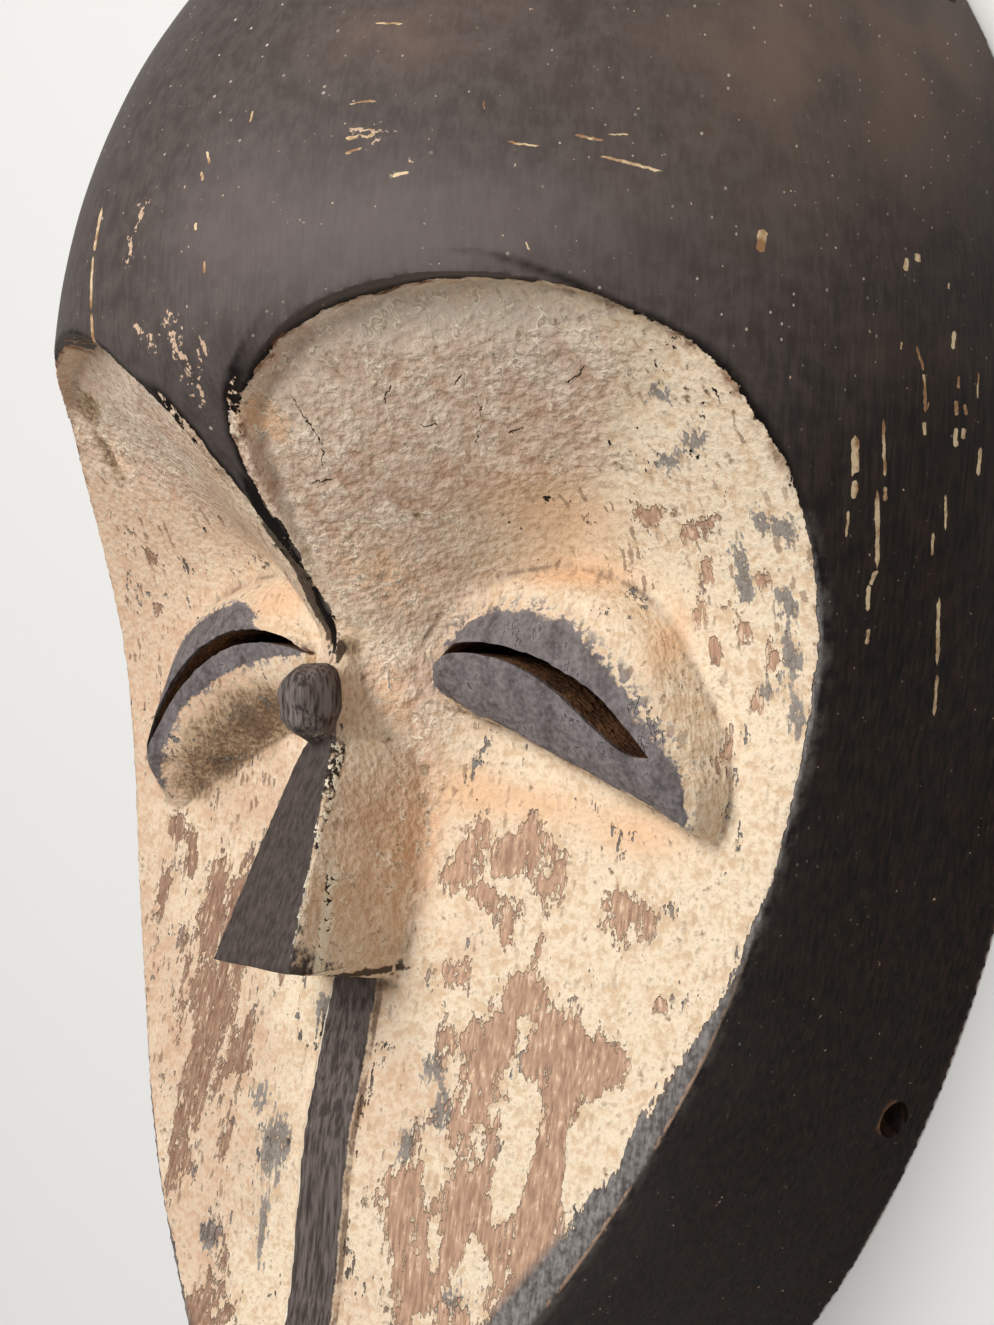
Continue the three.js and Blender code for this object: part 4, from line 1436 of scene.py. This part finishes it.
class Patterns:
    """The random patterns that all finishes share, in real sizes, and the marks stored on the piece."""

    def __init__(self, tree: bpy.types.NodeTree) -> None:
        """Build the patterns once in a node tree.

        Args:
            tree: The node tree.
        """
        self.put = partial(add, tree)
        put = self.put
        self.mm = put("VectorMath", put("TexCoord", out="Object"), Scale=1.0 / MM, operation="SCALE")
        self.x, self.y, self.z = put("SeparateXYZ", self.mm).node.outputs
        self.marks = {name: put("Attribute", attribute_name=name, out="Fac") for name in MARK_NAMES}
        upright = put("VectorMath", self.mm, (1.0, 0.08, 1.0), **TIMES)
        torn = put("VectorMath", self.mm, (1.0, 0.45, 1.0), **TIMES)
        # Each scale is one over the pattern's real size in millimetres: the clay's grit is 1.1 across,
        # the dabs it was put on with 3.6, and the stains from handling 21
        self.fine = put("TexNoise", self.mm, Scale=1 / 1.1, Detail=2.0, Roughness=0.6)
        self.mid = put("TexNoise", self.mm, Scale=1 / 3.6, Detail=3.0, Roughness=0.62)
        self.broad = put("TexNoise", self.mm, Scale=1 / 21.0, Detail=2.0, Roughness=0.55)
        # The wood's fibres are about 0.1 across, too fine to show, so the grain is drawn 0.7 wide
        self.grain = put("TexNoise", upright, Scale=1 / 0.7, Detail=2.0, Roughness=0.7)
        # Flakes come off about 5 wide, the crust curls up in crumbs of 2.2, and rubbing leaves streaks of 0.9
        self.flake = put("TexNoise", torn, Scale=1 / 5.0, Detail=4.0, Roughness=0.74)
        self.curl = put("TexNoise", self.mm, Scale=1 / 2.2, Detail=1.0, Roughness=0.6)
        slanted = put("Mapping", self.mm, Rotation=(0.0, 0.0, 0.7), Scale=(1.0, 0.16, 1.0))
        self.fibre = put("TexNoise", slanted, Scale=1 / 0.9, Detail=1.0, Roughness=0.65)
        # A value of about 1 that wavers, to make borders crumble
        self.stray = put("Math", self.mid, self.fine, **PLUS)
        # The crust breaks into plates about 6 across
        self.shake = put("CombineXYZ", self.mid, self.fine)
        bent = put("VectorMath", self.shake, (7.0, 5.0, 0.0), self.mm, **SCALED)
        self.plate = put("SeparateColor", put("TexVoronoi", bent, Scale=1 / 6.0, out="Color", **FLAT))
        # Thin winding lines: the raised lips of the crust, with a painted highlight along them, and the painted
        # shadows beside them
        self.lip = self.line(0.505)
        self.shadow = self.line(0.54)

    def line(self, level: float) -> bpy.types.NodeSocket:
        """Draw the thin lines along which the curled pattern has one level.

        Args:
            level: The level, from 0 to 1.

        Returns:
            The mask, from 0 to 1.
        """
        put = self.put
        away = put("Math", put("Math", self.curl, level, **MINUS), **SIZE_OF)
        return put("MapRange", away, 0.04, 0.008, **SOFT)

    def total(self, *parts: tuple[object, float], base: object = 0.0) -> bpy.types.NodeSocket:
        """Add up patterns.

        Args:
            *parts: The patterns, each with its weight.
            base: What they are added to.

        Returns:
            The sum.
        """
        for value, weight in parts:
            base = self.put("Math", value, weight, base, **SCALED)
        return base

    def product(self, *masks: object) -> bpy.types.NodeSocket:
        """Multiply masks into the mask of where all of them hold."""
        return reduce(lambda one, other: self.put("Math", one, other, **TIMES), masks)

    def ragged(self, value: object, amount: float, low: float, high: float) -> bpy.types.NodeSocket:
        """Turn a mark into a mask with a ragged border.

        Args:
            value: The mark.
            amount: How far its border strays.
            low: Value where the mask starts.
            high: Value where the mask is whole.

        Returns:
            The mask, from 0 to 1.
        """
        put = self.put
        stray = put("Math", self.stray, amount * 2.0, -amount * 2.0, **SCALED)
        return put("MapRange", put("Math", value, stray, **PLUS), low, high, **SOFT)

    def scratches(self, bend: float, share: float) -> bpy.types.NodeSocket:
        """Draw the stored scratches, tapered at both ends.

        Args:
            bend: How far they waver, in millimetres.
            share: How much of their stored width they get.

        Returns:
            The mask, from 0 to 1.
        """
        put = self.put
        along = self.marks["scratch_along"]
        ends = [put("MapRange", along, start, stop, **SOFT) for start, stop in ((0.0, 0.15), (1.0, 0.85))]
        half = self.product(self.marks["scratch_wide"], share / 2.0, *ends)
        stray = put("Math", self.stray, bend, -bend, **SCALED)
        across = put("Math", put("Math", self.marks["scratch_across"], stray, **PLUS), **SIZE_OF)
        return put("MapRange", put("Math", half, across, **MINUS), 0.0, 0.1, **SOFT)


@dataclass(frozen=True)
class Stain:
    """A dark brown-black stain, rubbed on by hand: greyer above, with dust and a painted sheen, and nearly
    black down the walls, partly as painted shade.

    It is thin, so the grain shows through it, and the soft grey bloom on the hood is partly years of handling
    and partly painted sheen.
    """

    deep: str = "#4b4340"
    worn: str = "#5b5350"
    wall_deep: str = "#080403"
    wall_worn: str = "#33241b"
    brown: str = "#7b665a"
    bloom_and_sheen: str = "#776c6a"
    black: str = "#17110f"
    speck: str = "#cfc2b0"
    dust: str = "#cdb096"
    rubbed: str = "#8a807a"
    scratch: str = "#e2c9a2"
    scratch_edge: str = "#9c7552"

    def colour(self, p: Patterns) -> bpy.types.NodeSocket:
        """Build the stain's colour with its mottling, specks and scratches.

        Args:
            p: The shared patterns.

        Returns:
            The colour.
        """
        put = p.put
        tone = put("MapRange", p.total((p.mid, 0.6), (p.grain, 0.4)), 0.36, 0.64, **SOFT)
        hood = put("Mix", tone, self.deep, self.worn, **COLOUR)
        # The grey bloom: partly handling, partly a painted sheen
        hood = put("Mix", put("Math", p.marks["bloom_and_sheen"], 0.35, **TIMES), hood, self.bloom_and_sheen, **COLOUR)
        patchy = put("MapRange", p.broad, 0.36, 0.6, To_Min=0.25, To_Max=0.85)
        hood = put("Mix", put("Math", p.marks["browned"], patchy, **TIMES), hood, self.brown, **COLOUR)
        # The walls darken downwards, partly as the stain's own black and partly as painted shade, but the crown
        # stays brown all the way over
        crown = put("Math", put("Math", p.y, 20.0, **MINUS), 0.0, **GREATER)
        low = put("MapRange", p.total((crown, 0.9), (p.broad, 30.0), base=p.z), 140.0, 42.0, **SOFT)
        streak = put("MapRange", p.total((p.mid, 0.4), (p.grain, 0.6)), 0.40, 0.64)
        wall = put("Mix", streak, self.wall_deep, self.wall_worn, **COLOUR)
        colour = put("Mix", low, hood, wall, **COLOUR)
        # Unrolled over the sides, so that the specks stay round on the walls
        across = p.product(put("Math", p.z, -1.0 / BlockForm.hood_height, 1.7, **SCALED), p.x)
        cell = put("TexVoronoi", put("CombineXYZ", across, p.y), Scale=1 / 2.2, **FLAT).node
        chance = put("SeparateColor", cell.outputs["Color"])
        size = put("MapRange", chance, 0.84, 1.0, To_Min=0.0, To_Max=0.13)
        speck = p.product(
            put("MapRange", put("Math", size, cell.outputs["Distance"], **MINUS), -0.01, 0.03),
            put("MapRange", p.broad, 0.4, 0.62, To_Min=0.15, To_Max=0.9),
            put("MapRange", low, 0.0, 1.0, To_Min=1.0, To_Max=0.1),
        )
        colour = put("Mix", speck, colour, self.speck, **COLOUR)
        dusty = p.total((p.mid, 0.6), (p.fine, 1.6), (p.marks["dust"], 0.42))
        colour = put("Mix", put("MapRange", dusty, 1.5, 1.58), colour, self.dust, **COLOUR)
        # A black line along the sunk border, partly black paint and partly painted shadow of the step wall, and
        # the rubbed arris of the cheeks below it
        edge = p.marks["edge"]
        line = p.product(
            put("MapRange", put("Math", p.mid, 1.6, edge, **SCALED), -0.9, 0.7, **SOFT),
            put("MapRange", p.y, -2.0, 10.0),
            put("MapRange", p.x, -46.0, -34.0),
        )
        colour = put("Mix", line, colour, self.black, **COLOUR)
        rub = p.product(
            put("MapRange", edge, -2.6, -0.2),
            put("MapRange", p.y, 30.0, 16.0),
            put("MapRange", p.mid, 0.4, 0.65, To_Max=0.6),
        )
        colour = put("Mix", rub, colour, self.rubbed, **COLOUR)
        pale = put("Math", 1.0, p.marks["scratch_dark"], **MINUS)
        wood = put("Mix", put("MapRange", p.mid, 0.4, 0.58), self.scratch_edge, self.scratch, **COLOUR)
        return put("Mix", put("Math", p.scratches(0.6, 1.0), pale, **TIMES), colour, wood, **COLOUR)


@dataclass(frozen=True)
class Clay:
    """White clay, dabbed on thick: cream on the cheeks, tan and crusty on the forehead, orange by the eyes.

    It gives the face its chalky, matt, crumbling skin, with pits and flakes that catch the light.
    """

    cream: str = "#d8bd9d"
    light: str = "#f8e9d0"
    peach: str = "#cba68b"
    tan: str = "#c4a086"
    tan_light: str = "#f3e0ca"
    tan_grey: str = "#d5c5b4"
    orange: str = "#ecbe94"
    pit_and_shadow: str = "#7d6350"
    crack_and_shadow: str = "#33261f"
    rust: str = "#8f6a52"
    olive: str = "#8c735c"
    olive_light: str = "#bba386"
    soil_and_shadow: str = "#5d4d3f"

    def colour(self, p: Patterns) -> bpy.types.NodeSocket:
        """Build the clay's colour with its tints, flecks and cracks.

        Args:
            p: The shared patterns.

        Returns:
            The colour.
        """
        put = p.put
        tone = p.total((p.mid, 0.5), (p.fine, 0.5))
        colour = put("Mix", put("MapRange", tone, 0.40, 0.60), self.cream, self.light, **COLOUR)
        # The left cheek is the duller and pinker one, partly in its own colour and partly as painted shade
        warm = put("MapRange", put("Math", p.x, -0.0035, p.broad, **SCALED), 0.45, 0.72, To_Max=0.75)
        warm = put("Math", warm, put("MapRange", tone, 0.4, 0.6, To_Min=1.0, To_Max=0.55), **TIMES)
        colour = put("Mix", warm, colour, self.peach, **COLOUR)
        return self.grime_and_shadow(p, self.flecks(p, self.crust(p, colour)))

    def crust(self, p: Patterns, colour: object) -> bpy.types.NodeSocket:
        """Lay the tan of the forehead, the orange rubs, and a painted highlight on the crust's raised lips with
        painted shadow beside them, over the cream.

        Args:
            p: The shared patterns.
            colour: The colour so far.

        Returns:
            The colour with them.
        """
        put = p.put
        tan = p.marks["tan"]
        tone = p.total((p.plate, 0.12), (p.grain, 0.3), (p.curl, 0.35), (p.flake, 0.35))
        brown = put("Mix", put("MapRange", tone, 0.40, 0.68), self.tan, self.tan_light, **COLOUR)
        high = p.product(put("MapRange", p.y, 36.0, 50.0), put("MapRange", p.broad, 0.35, 0.6, To_Max=0.8))
        brown = put("Mix", high, brown, self.tan_grey, **COLOUR)
        colour = put("Mix", p.ragged(tan, 0.5, 0.05, 0.75), colour, brown, **COLOUR)
        orange = put("Math", p.ragged(p.marks["orange"], 0.4, 0.1, 1.3), 0.75, **TIMES)
        colour = put("Mix", orange, colour, self.orange, **COLOUR)
        # Painted highlight along the crust's lips, and painted shadow beside them
        broken = p.product(put("MapRange", tan, 0.0, 0.6), put("MapRange", p.flake, 0.46, 0.56))
        colour = put("Mix", p.product(p.lip, broken), colour, self.light, **COLOUR)
        return put("Mix", p.product(broken, 0.4, p.shadow), colour, self.pit_and_shadow, **COLOUR)

    def flecks(self, p: Patterns, colour: object) -> bpy.types.NodeSocket:
        """Add the rusty crumbs along the upper border and the small upright pits.

        Args:
            p: The shared patterns.
            colour: The colour so far.

        Returns:
            The colour with them.
        """
        put = p.put
        border = put("MapRange", p.marks["edge"], 2.4, 0.4, **SOFT)
        rust = p.product(border, put("MapRange", p.y, 24.0, 34.0), put("MapRange", p.mid, 0.45, 0.6))
        colour = put("Mix", rust, colour, self.rust, **COLOUR)
        tall = put("VectorMath", p.mm, (1.0, 0.42, 1.0), **TIMES)
        shaken = put("VectorMath", p.shake, (2.4, 1.6, 0.0), tall, **SCALED)
        cell = put("TexVoronoi", shaken, Scale=1 / 1.6, **FLAT).node
        chance = put("SeparateColor", cell.outputs["Color"])
        size = put("MapRange", chance, 0.5, 1.0, To_Min=0.0, To_Max=0.34)
        patchy = p.total((put("Math", p.x, **SIZE_OF), 0.0016), base=p.broad)
        # None of them in the crust, and fewer on the lower right
        fleck = p.product(
            put("MapRange", put("Math", size, cell.outputs["Distance"], **MINUS), -0.02, 0.06),
            put("MapRange", patchy, 0.42, 0.66, To_Min=0.1, To_Max=0.7),
            put("MapRange", p.marks["tan"], 0.6, 0.1),
            put("MapRange", put("Math", p.x, p.y, **MINUS), 55.0, 90.0, To_Min=1.0, To_Max=0.4),
        )
        return put("Mix", fleck, colour, self.pit_and_shadow, **COLOUR)

    def grime_and_shadow(self, p: Patterns, colour: object) -> bpy.types.NodeSocket:
        """Smear dirt over the slopes of the eyes, lay a painted shadow under the nose, darken the crease round
        each eye's foot, lay the groove's black, partly painted shadow, and draw the cracks.

        Args:
            p: The shared patterns.
            colour: The colour so far.

        Returns:
            The colour with them.
        """
        put = p.put
        dirt_and_shadow, eye = p.marks["dirt_and_shadow"], p.marks["eye"]
        slope = p.product(put("MapRange", eye, 0.0, 0.6), put("MapRange", p.fibre, 0.42, 0.6, To_Max=0.2))
        colour = put("Mix", slope, colour, self.peach, **COLOUR)
        streak = put("MapRange", put("Math", p.fibre, p.fine, **PLUS), 0.86, 1.12)
        olive = put("Mix", streak, self.olive, self.olive_light, **COLOUR)
        # Olive smears and darker soil: dirt, and under the nose a painted shadow
        colour = put("Mix", p.ragged(dirt_and_shadow, 0.5, 0.05, 0.4), colour, olive, **COLOUR)
        smudge_and_shadow = p.total((p.flake, 1.4), (p.fibre, 2.0), base=dirt_and_shadow)
        colour = put("Mix", put("MapRange", smudge_and_shadow, 2.5, 2.9, To_Max=0.75), colour, self.soil_and_shadow, **COLOUR)
        # The groove's black and the line under the nose on the clay: partly dark crumbs, partly painted shadow
        soot_and_shadow = put("MapRange", put("Math", p.stray, p.marks["soot_and_shadow"], **PLUS), 1.3, 1.5, To_Max=0.9)
        colour = put("Mix", soot_and_shadow, colour, self.crack_and_shadow, **COLOUR)
        rim = put("MapRange", put("Math", eye, **SIZE_OF), 0.5, 0.15)
        rim = p.product(rim, put("MapRange", p.flake, 0.44, 0.54, To_Max=0.55))
        colour = put("Mix", rim, colour, self.pit_and_shadow, **COLOUR)
        line = put("Math", p.scratches(1.6, 0.6), p.marks["scratch_dark"], **TIMES)
        return put("Mix", line, colour, self.crack_and_shadow, **COLOUR)


@dataclass(frozen=True)
class BareWood:
    """Pinkish softwood, carved and left bare, where the clay has flaked away or was never put on.

    Its upright grain tells the eye that the pale patches are the wood itself, and that the hollow was gouged.
    """

    dark: str = "#9d7b66"
    light: str = "#cba78c"
    shaded_dark: str = "#856553"
    shaded_light: str = "#ad8d76"
    remnant: str = "#ead5b7"
    slate: str = "#55504e"
    slate_light: str = "#8c8784"
    raw_dark: str = "#3d2a1f"
    raw: str = "#8b6243"

    def flaked(self, p: Patterns) -> bpy.types.NodeSocket:
        """Build the wood that shows in the flakes, darker on the left cheek: partly its own duller tone, partly
        painted shade.

        Args:
            p: The shared patterns.

        Returns:
            The colour.
        """
        put = p.put
        grain = put("MapRange", p.grain, 0.34, 0.66)
        right = put("Mix", grain, self.dark, self.light, **COLOUR)
        left = put("Mix", grain, self.shaded_dark, self.shaded_light, **COLOUR)
        wood = put("Mix", put("MapRange", p.x, -8.0, 8.0), left, right, **COLOUR)
        scrap = p.total((p.fine, 0.4), (p.grain, 0.6))
        return put("Mix", put("MapRange", scrap, 0.58, 0.64, To_Max=0.6), wood, self.remnant, **COLOUR)

    def stained(self, p: Patterns) -> bpy.types.NodeSocket:
        """Build the grey of wood from which the stain has been rubbed."""
        tone = p.total((p.fine, 0.5), (p.grain, 0.5))
        return p.put("Mix", p.put("MapRange", tone, 0.4, 0.62), self.slate, self.slate_light, **COLOUR)

    def gouged(self, p: Patterns) -> bpy.types.NodeSocket:
        """Build the raw wood of the hollow and of the slits."""
        return p.put("Mix", p.put("MapRange", p.flake, 0.35, 0.65), self.raw_dark, self.raw, **COLOUR)


@dataclass(frozen=True)
class PaintedWood:
    """The whole finish: dark stain, white clay over it on the face, and bare wood where that is lost.

    The stain gives the hood a low brown-black sheen, the clay is thick and matt, and its lost
    flakes have crisp torn edges, which is what the eye reads as age.
    """

    stain: Stain = Stain()
    clay: Clay = Clay()
    wood: BareWood = BareWood()
    feature_dark: str = "#413936"
    feature_light: str = "#5c524e"
    knob: str = "#857a75"
    lid_dark: str = "#575150"
    lid_light: str = "#878080"
    shade: str = "#3a2c24"
    crumb_dark: str = "#3b322c"
    crumb_light: str = "#efe2c8"
    line_light: str = "#fbf1de"
    line_dark: str = "#6f5544"
    clay_thickness: float = 0.19
    clay_roughness: float = 0.9
    gloss: float = 0.1

    def material(self) -> bpy.types.Material:
        """Build the material.

        Returns:
            The material.
        """
        material = bpy.data.materials.new("stained_and_whitened_wood")
        material.use_nodes = True
        tree = material.node_tree
        tree.nodes.clear()
        p = Patterns(tree)
        put = p.put
        kept = self.kept(p)
        features = self.features(p)
        clay = self.clay.colour(p)
        grey = p.total((p.grain, 1.6), (p.fine, 1.4), (p.flake, 2.0), base=p.marks["grey"])
        grey = put("MapRange", grey, 3.0, 3.2, To_Max=0.85)
        clay = put("Mix", grey, clay, self.wood.stained(p), **COLOUR)
        surface = self.lids(p, put("Mix", kept, self.ground(p), clay, **COLOUR))
        surface = self.crumbs(p, put("Mix", features, surface, self.feature(p), **COLOUR))
        cut = p.product(put("MapRange", p.marks["slit"], -0.35, -0.1), put("MapRange", p.z, 59.9, 58.8))
        inside = put("Math", cut, p.marks["hollow"], **GREATER)
        surface = put("Mix", inside, surface, self.wood.gouged(p), **COLOUR)
        # Painted shade: the colour darkens in the sunk creases
        crease = put("MapRange", p.marks["cavity"], 0.06, 0.34, To_Max=0.5)
        surface = put("Mix", crease, surface, self.shade, **COLOUR)
        covered = put("Math", kept, features, use_clamp=True, **MINUS)
        height = p.product(covered, self.height(p))
        bump = put("Bump", Height=height, Distance=self.clay_thickness * MM, Strength=1.0)
        tone = put("Math", p.mid, 0.3, 0.40, **SCALED)
        rough = put("Mix", covered, tone, self.clay_roughness, data_type="FLOAT")
        shader = put("BsdfPrincipled", surface, Roughness=rough, Normal=bump, Specular_IOR_Level=self.gloss)
        put("OutputMaterial", shader)
        return material

    def height(self, p: Patterns) -> bpy.types.NodeSocket:
        """Build how proud the clay stands, its crust broken into plates and curled crumbs.

        Args:
            p: The shared patterns.

        Returns:
            The height, as a share of the clay's thickness.
        """
        put = p.put
        crust = put("MapRange", p.marks["tan"], -0.2, 0.6, To_Min=0.4, To_Max=1.2)
        crumb = p.product(p.total((p.plate, 1.6), (p.curl, 2.2), (p.fine, 1.6)), crust)
        slope = p.product(put("MapRange", p.marks["eye"], 0.0, 0.6), p.fibre)
        crumb = p.total((p.fine, 0.8), (p.product(p.lip, crust), 0.1), (slope, 1.5), base=crumb)
        return put("Math", crumb, 0.2, **PLUS)

    def kept(self, p: Patterns) -> bpy.types.NodeSocket:
        """Build the mask of the clay that is still there.

        Args:
            p: The shared patterns.

        Returns:
            The mask, from 0 to 1.
        """
        put = p.put
        worn = p.marks["worn"]
        inset = put("Math", worn, -0.75, 0.35, **SCALED)
        reach = put("Math", worn, 1.5, 0.9, **SCALED)
        torn = p.product(put("Math", p.flake, 0.5, **MINUS), reach)
        border = put("Math", put("Math", p.marks["edge"], inset, **PLUS), torn, **PLUS)
        crumbly = put("Math", p.stray, 1.0, **MINUS)
        border = put("Math", crumbly, put("MapRange", p.y, 18.0, 32.0, To_Max=1.4), border, **SCALED)
        spots = put("Math", p.marks["loss"], 0.92, operation="MINIMUM")
        tan = put("Math", p.marks["tan"], 0.0, **GREATER)
        loss = p.total((spots, 1.1), (p.flake, 3.8), (p.grain, 1.1), (p.fine, 1.0), (tan, -0.8))
        return p.product(put("MapRange", border, -0.06, 0.06), put("MapRange", loss, 3.65, 3.49))

    def ground(self, p: Patterns) -> bpy.types.NodeSocket:
        """Build what lies under the clay: stain, a rubbed strip along the arris, and bare wood.

        Args:
            p: The shared patterns.

        Returns:
            The colour.
        """
        put = p.put
        edge = p.marks["edge"]
        worn = p.marks["worn"]
        strip = p.product(
            put("MapRange", edge, -0.5, 0.4),
            put("MapRange", p.y, 26.0, 10.0),
            put("MapRange", put("Math", p.x, **SIZE_OF), 8.0, 14.0),
        )
        ground = put("Mix", strip, self.stain.colour(p), self.wood.stained(p), **COLOUR)
        # Black in the groove and under the nose: partly black paint, partly painted shadow
        ground = put("Mix", put("MapRange", p.marks["soot_and_shadow"], 0.05, 0.35), ground, self.stain.black, **COLOUR)
        past = put("Math", worn, -0.75, edge, **SCALED)
        bare = p.product(put("MapRange", past, -1.4, 0.6), put("MapRange", p.marks["loss"], 0.0, 0.3))
        ground = put("Mix", bare, ground, self.wood.flaked(p), **COLOUR)
        near = put("Math", put("Math", edge, 0.1, **PLUS), **SIZE_OF)
        line = p.product(
            put("MapRange", near, 0.5, 0.2),
            put("MapRange", worn, 2.0, 5.0, To_Max=0.8),
            put("MapRange", p.flake, 0.42, 0.5),
        )
        return put("Mix", line, ground, self.wood.light, **COLOUR)

    def features(self, p: Patterns) -> bpy.types.NodeSocket:
        """Build the mask of the dark nose, knob and stripe."""
        nose, stripe = (p.ragged(p.marks[name], 0.25, -0.1, 0.15) for name in ("nose", "stripe"))
        return p.put("Math", nose, stripe, **GREATER)

    def feature(self, p: Patterns) -> bpy.types.NodeSocket:
        """Build the dark of the nose's front, paler on the knob and down the stripe.

        Args:
            p: The shared patterns.

        Returns:
            The colour.
        """
        put = p.put
        grain = put("MapRange", p.grain, 0.35, 0.7)
        dark = put("Mix", grain, self.feature_dark, self.feature_light, **COLOUR)
        knob = put("MapRange", p.y, -14.0, -10.0)
        stripe = put("MapRange", p.y, -50.0, -54.0, To_Max=0.5)
        pale = p.product(put("Math", knob, stripe, **PLUS), put("MapRange", p.grain, 0.4, 0.6, To_Max=0.75))
        return put("Mix", pale, dark, self.knob, **COLOUR)

    def lids(self, p: Patterns, surface: object) -> bpy.types.NodeSocket:
        """Lay the dark stain of the lids over the surface, crumbling at its outer border.

        Args:
            p: The shared patterns.
            surface: The colour so far.

        Returns:
            The colour with it.
        """
        put = p.put
        lids = p.marks["lids"]
        tone = p.total((p.fine, 0.4), (p.flake, 0.6))
        dark = put("Mix", put("MapRange", tone, 0.38, 0.62), self.lid_dark, self.lid_light, **COLOUR)
        crumb = p.product(
            put("MapRange", lids, -2.2, -0.2),
            put("MapRange", lids, 2.0, 0.6),
            put("MapRange", p.stray, 1.0, 1.1, To_Max=0.8),
        )
        surface = put("Mix", p.ragged(lids, 1.7, 0.2, 1.2), surface, dark, **COLOUR)
        return put("Mix", crumb, surface, dark, **COLOUR)

    def crumbs(self, p: Patterns, surface: object) -> bpy.types.NodeSocket:
        """Lay the white crumbs along the nose and the lines along the stripe over the surface.

        Args:
            p: The shared patterns.
            surface: The colour so far.

        Returns:
            The colour with them.
        """
        put = p.put
        band = p.product(
            put("MapRange", p.marks["crumbs"], 0.0, 0.5),
            put("MapRange", p.y, -11.0, -14.0),
            put("MapRange", p.mid, 0.42, 0.5),
        )
        light = put("Math", p.y, -0.006, p.fine, **SCALED)
        crumb = put("Mix", put("MapRange", light, 0.60, 0.64), self.crumb_dark, self.crumb_light, **COLOUR)
        surface = put("Mix", band, surface, crumb, **COLOUR)
        # The line is whole and light on the left side of the stripe, broken and brown on the right
        stripe = put("Math", p.marks["stripe"], put("Math", p.flake, 1.6, -0.8, **SCALED), **PLUS)
        beside = put("Math", put("Math", stripe, 0.4, **PLUS), **SIZE_OF)
        broken = put("MapRange", p.flake, 0.44, 0.52, To_Max=0.8)
        line = p.product(
            put("MapRange", beside, 0.5, 0.3),
            put("MapRange", p.y, -52.0, -56.0),
            put("MapRange", p.marks["edge"], 0.0, 0.4),
            put("Math", put("MapRange", p.x, 0.5, -0.5), broken, **GREATER),
        )
        side = put("Mix", put("MapRange", p.x, -0.5, 0.5), self.line_light, self.line_dark, **COLOUR)
        return put("Mix", line, surface, side, **COLOUR)


@dataclass(frozen=True)
class Lamp:
    """One square soft light, aimed at the mask from a direction in the camera's right, up and back."""

    name: str
    towards: tuple[float, float, float]
    side: float
    watts: float
    tint: tuple[float, float, float]
    distance: float = 1.1


@dataclass(frozen=True)
class Studio:
    """The pale floor, the soft lights and the camera."""

    focal_px: float = 1678.0
    long_side_px: float = 1325.0
    sensor: float = 36.0
    camera_at: tuple[float, float, float] = (0.200, 0.001, 0.265)
    turn: float = 40.0
    roll: float = 1.6
    lamps: tuple[Lamp, ...] = (
        Lamp("key", (-0.7, 0.48, 0.72), 0.6, 10.5, (1.0, 0.98, 0.96)),
        Lamp("fill", (-0.5, -0.3, 0.8), 0.9, 3.4, (1.0, 0.98, 0.97)),
    )
    floor_side: float = 6.0
    floor_colour: str = "#e7e7e5"
    floor_roughness: float = 0.8
    air: float = 0.14

    def axes(self) -> tuple[Vector, Vector, Vector]:
        """Give the camera's right, up and backward directions.

        Returns:
            The three directions.
        """
        turn, roll = math.radians(self.turn), math.radians(self.roll)
        level = Vector((math.cos(turn), 0.0, -math.sin(turn)))
        crown = Vector((0.0, 1.0, 0.0))
        right = math.cos(roll) * level + math.sin(roll) * crown
        up = -math.sin(roll) * level + math.cos(roll) * crown
        return right, up, Vector((math.sin(turn), 0.0, math.cos(turn)))

    def camera(self) -> None:
        """Set the camera where the photograph was taken from."""
        data = bpy.data.cameras.new("camera")
        data.sensor_width = self.sensor
        data.sensor_fit = "AUTO"
        data.lens = self.focal_px / self.long_side_px * self.sensor
        data.clip_start = 0.01
        camera = bpy.data.objects.new("camera", data)
        matrix = Matrix(self.axes()).transposed().to_4x4()
        matrix.translation = Vector(self.camera_at)
        camera.matrix_world = matrix
        bpy.context.scene.collection.objects.link(camera)
        bpy.context.scene.camera = camera

    def hang(self, lamp: Lamp) -> None:
        """Hang one light.

        Args:
            lamp: The light.
        """
        right, up, back = self.axes()
        direction = (right * lamp.towards[0] + up * lamp.towards[1] + back * lamp.towards[2]).normalized()
        data = bpy.data.lights.new(lamp.name, "AREA")
        data.shape = "SQUARE"
        data.size = lamp.side
        data.energy = lamp.watts
        data.color = lamp.tint
        hung = bpy.data.objects.new(lamp.name, data)
        aim = direction.to_track_quat("Z", "Y").to_matrix().to_4x4()
        hung.matrix_world = Matrix.Translation(direction * lamp.distance) @ aim
        bpy.context.scene.collection.objects.link(hung)

    def build(self) -> None:
        """Set up the floor, the lights and the camera."""
        floor = Bench.start("floor", bpy.ops.mesh.primitive_plane_add, size=self.floor_side)
        # Pale floor, rolled with dull paint: a plain ground that only takes the soft shadow
        material = bpy.data.materials.new("pale_floor")
        material.use_nodes = True
        shader = material.node_tree.nodes["Principled BSDF"]
        shader.inputs["Base Color"].default_value = linear(self.floor_colour)
        shader.inputs["Roughness"].default_value = self.floor_roughness
        floor.data.materials.append(material)
        world = bpy.data.worlds.new("studio")
        world.use_nodes = True
        background = world.node_tree.nodes["Background"]
        background.inputs["Color"].default_value = linear("#ffffff")
        background.inputs["Strength"].default_value = self.air
        bpy.context.scene.world = world
        for lamp in self.lamps:
            self.hang(lamp)
        bpy.context.scene.view_settings.view_transform = "Standard"
        self.camera()


def main() -> None:
    """Build the mask and its studio, in order."""
    logging.basicConfig(level=logging.INFO, format="%(message)s")
    mask = Mask()
    piece = mask.carve()
    mask.mark(piece)
    piece.data.materials.clear()
    piece.data.materials.append(PaintedWood().material())
    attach(piece, "root")
    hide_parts("mask")
    LOG.info("%s: %d triangles", piece.name, sum(len(f.vertices) - 2 for f in piece.data.polygons))
    Studio().build()


if __name__ == "__main__":
    main()
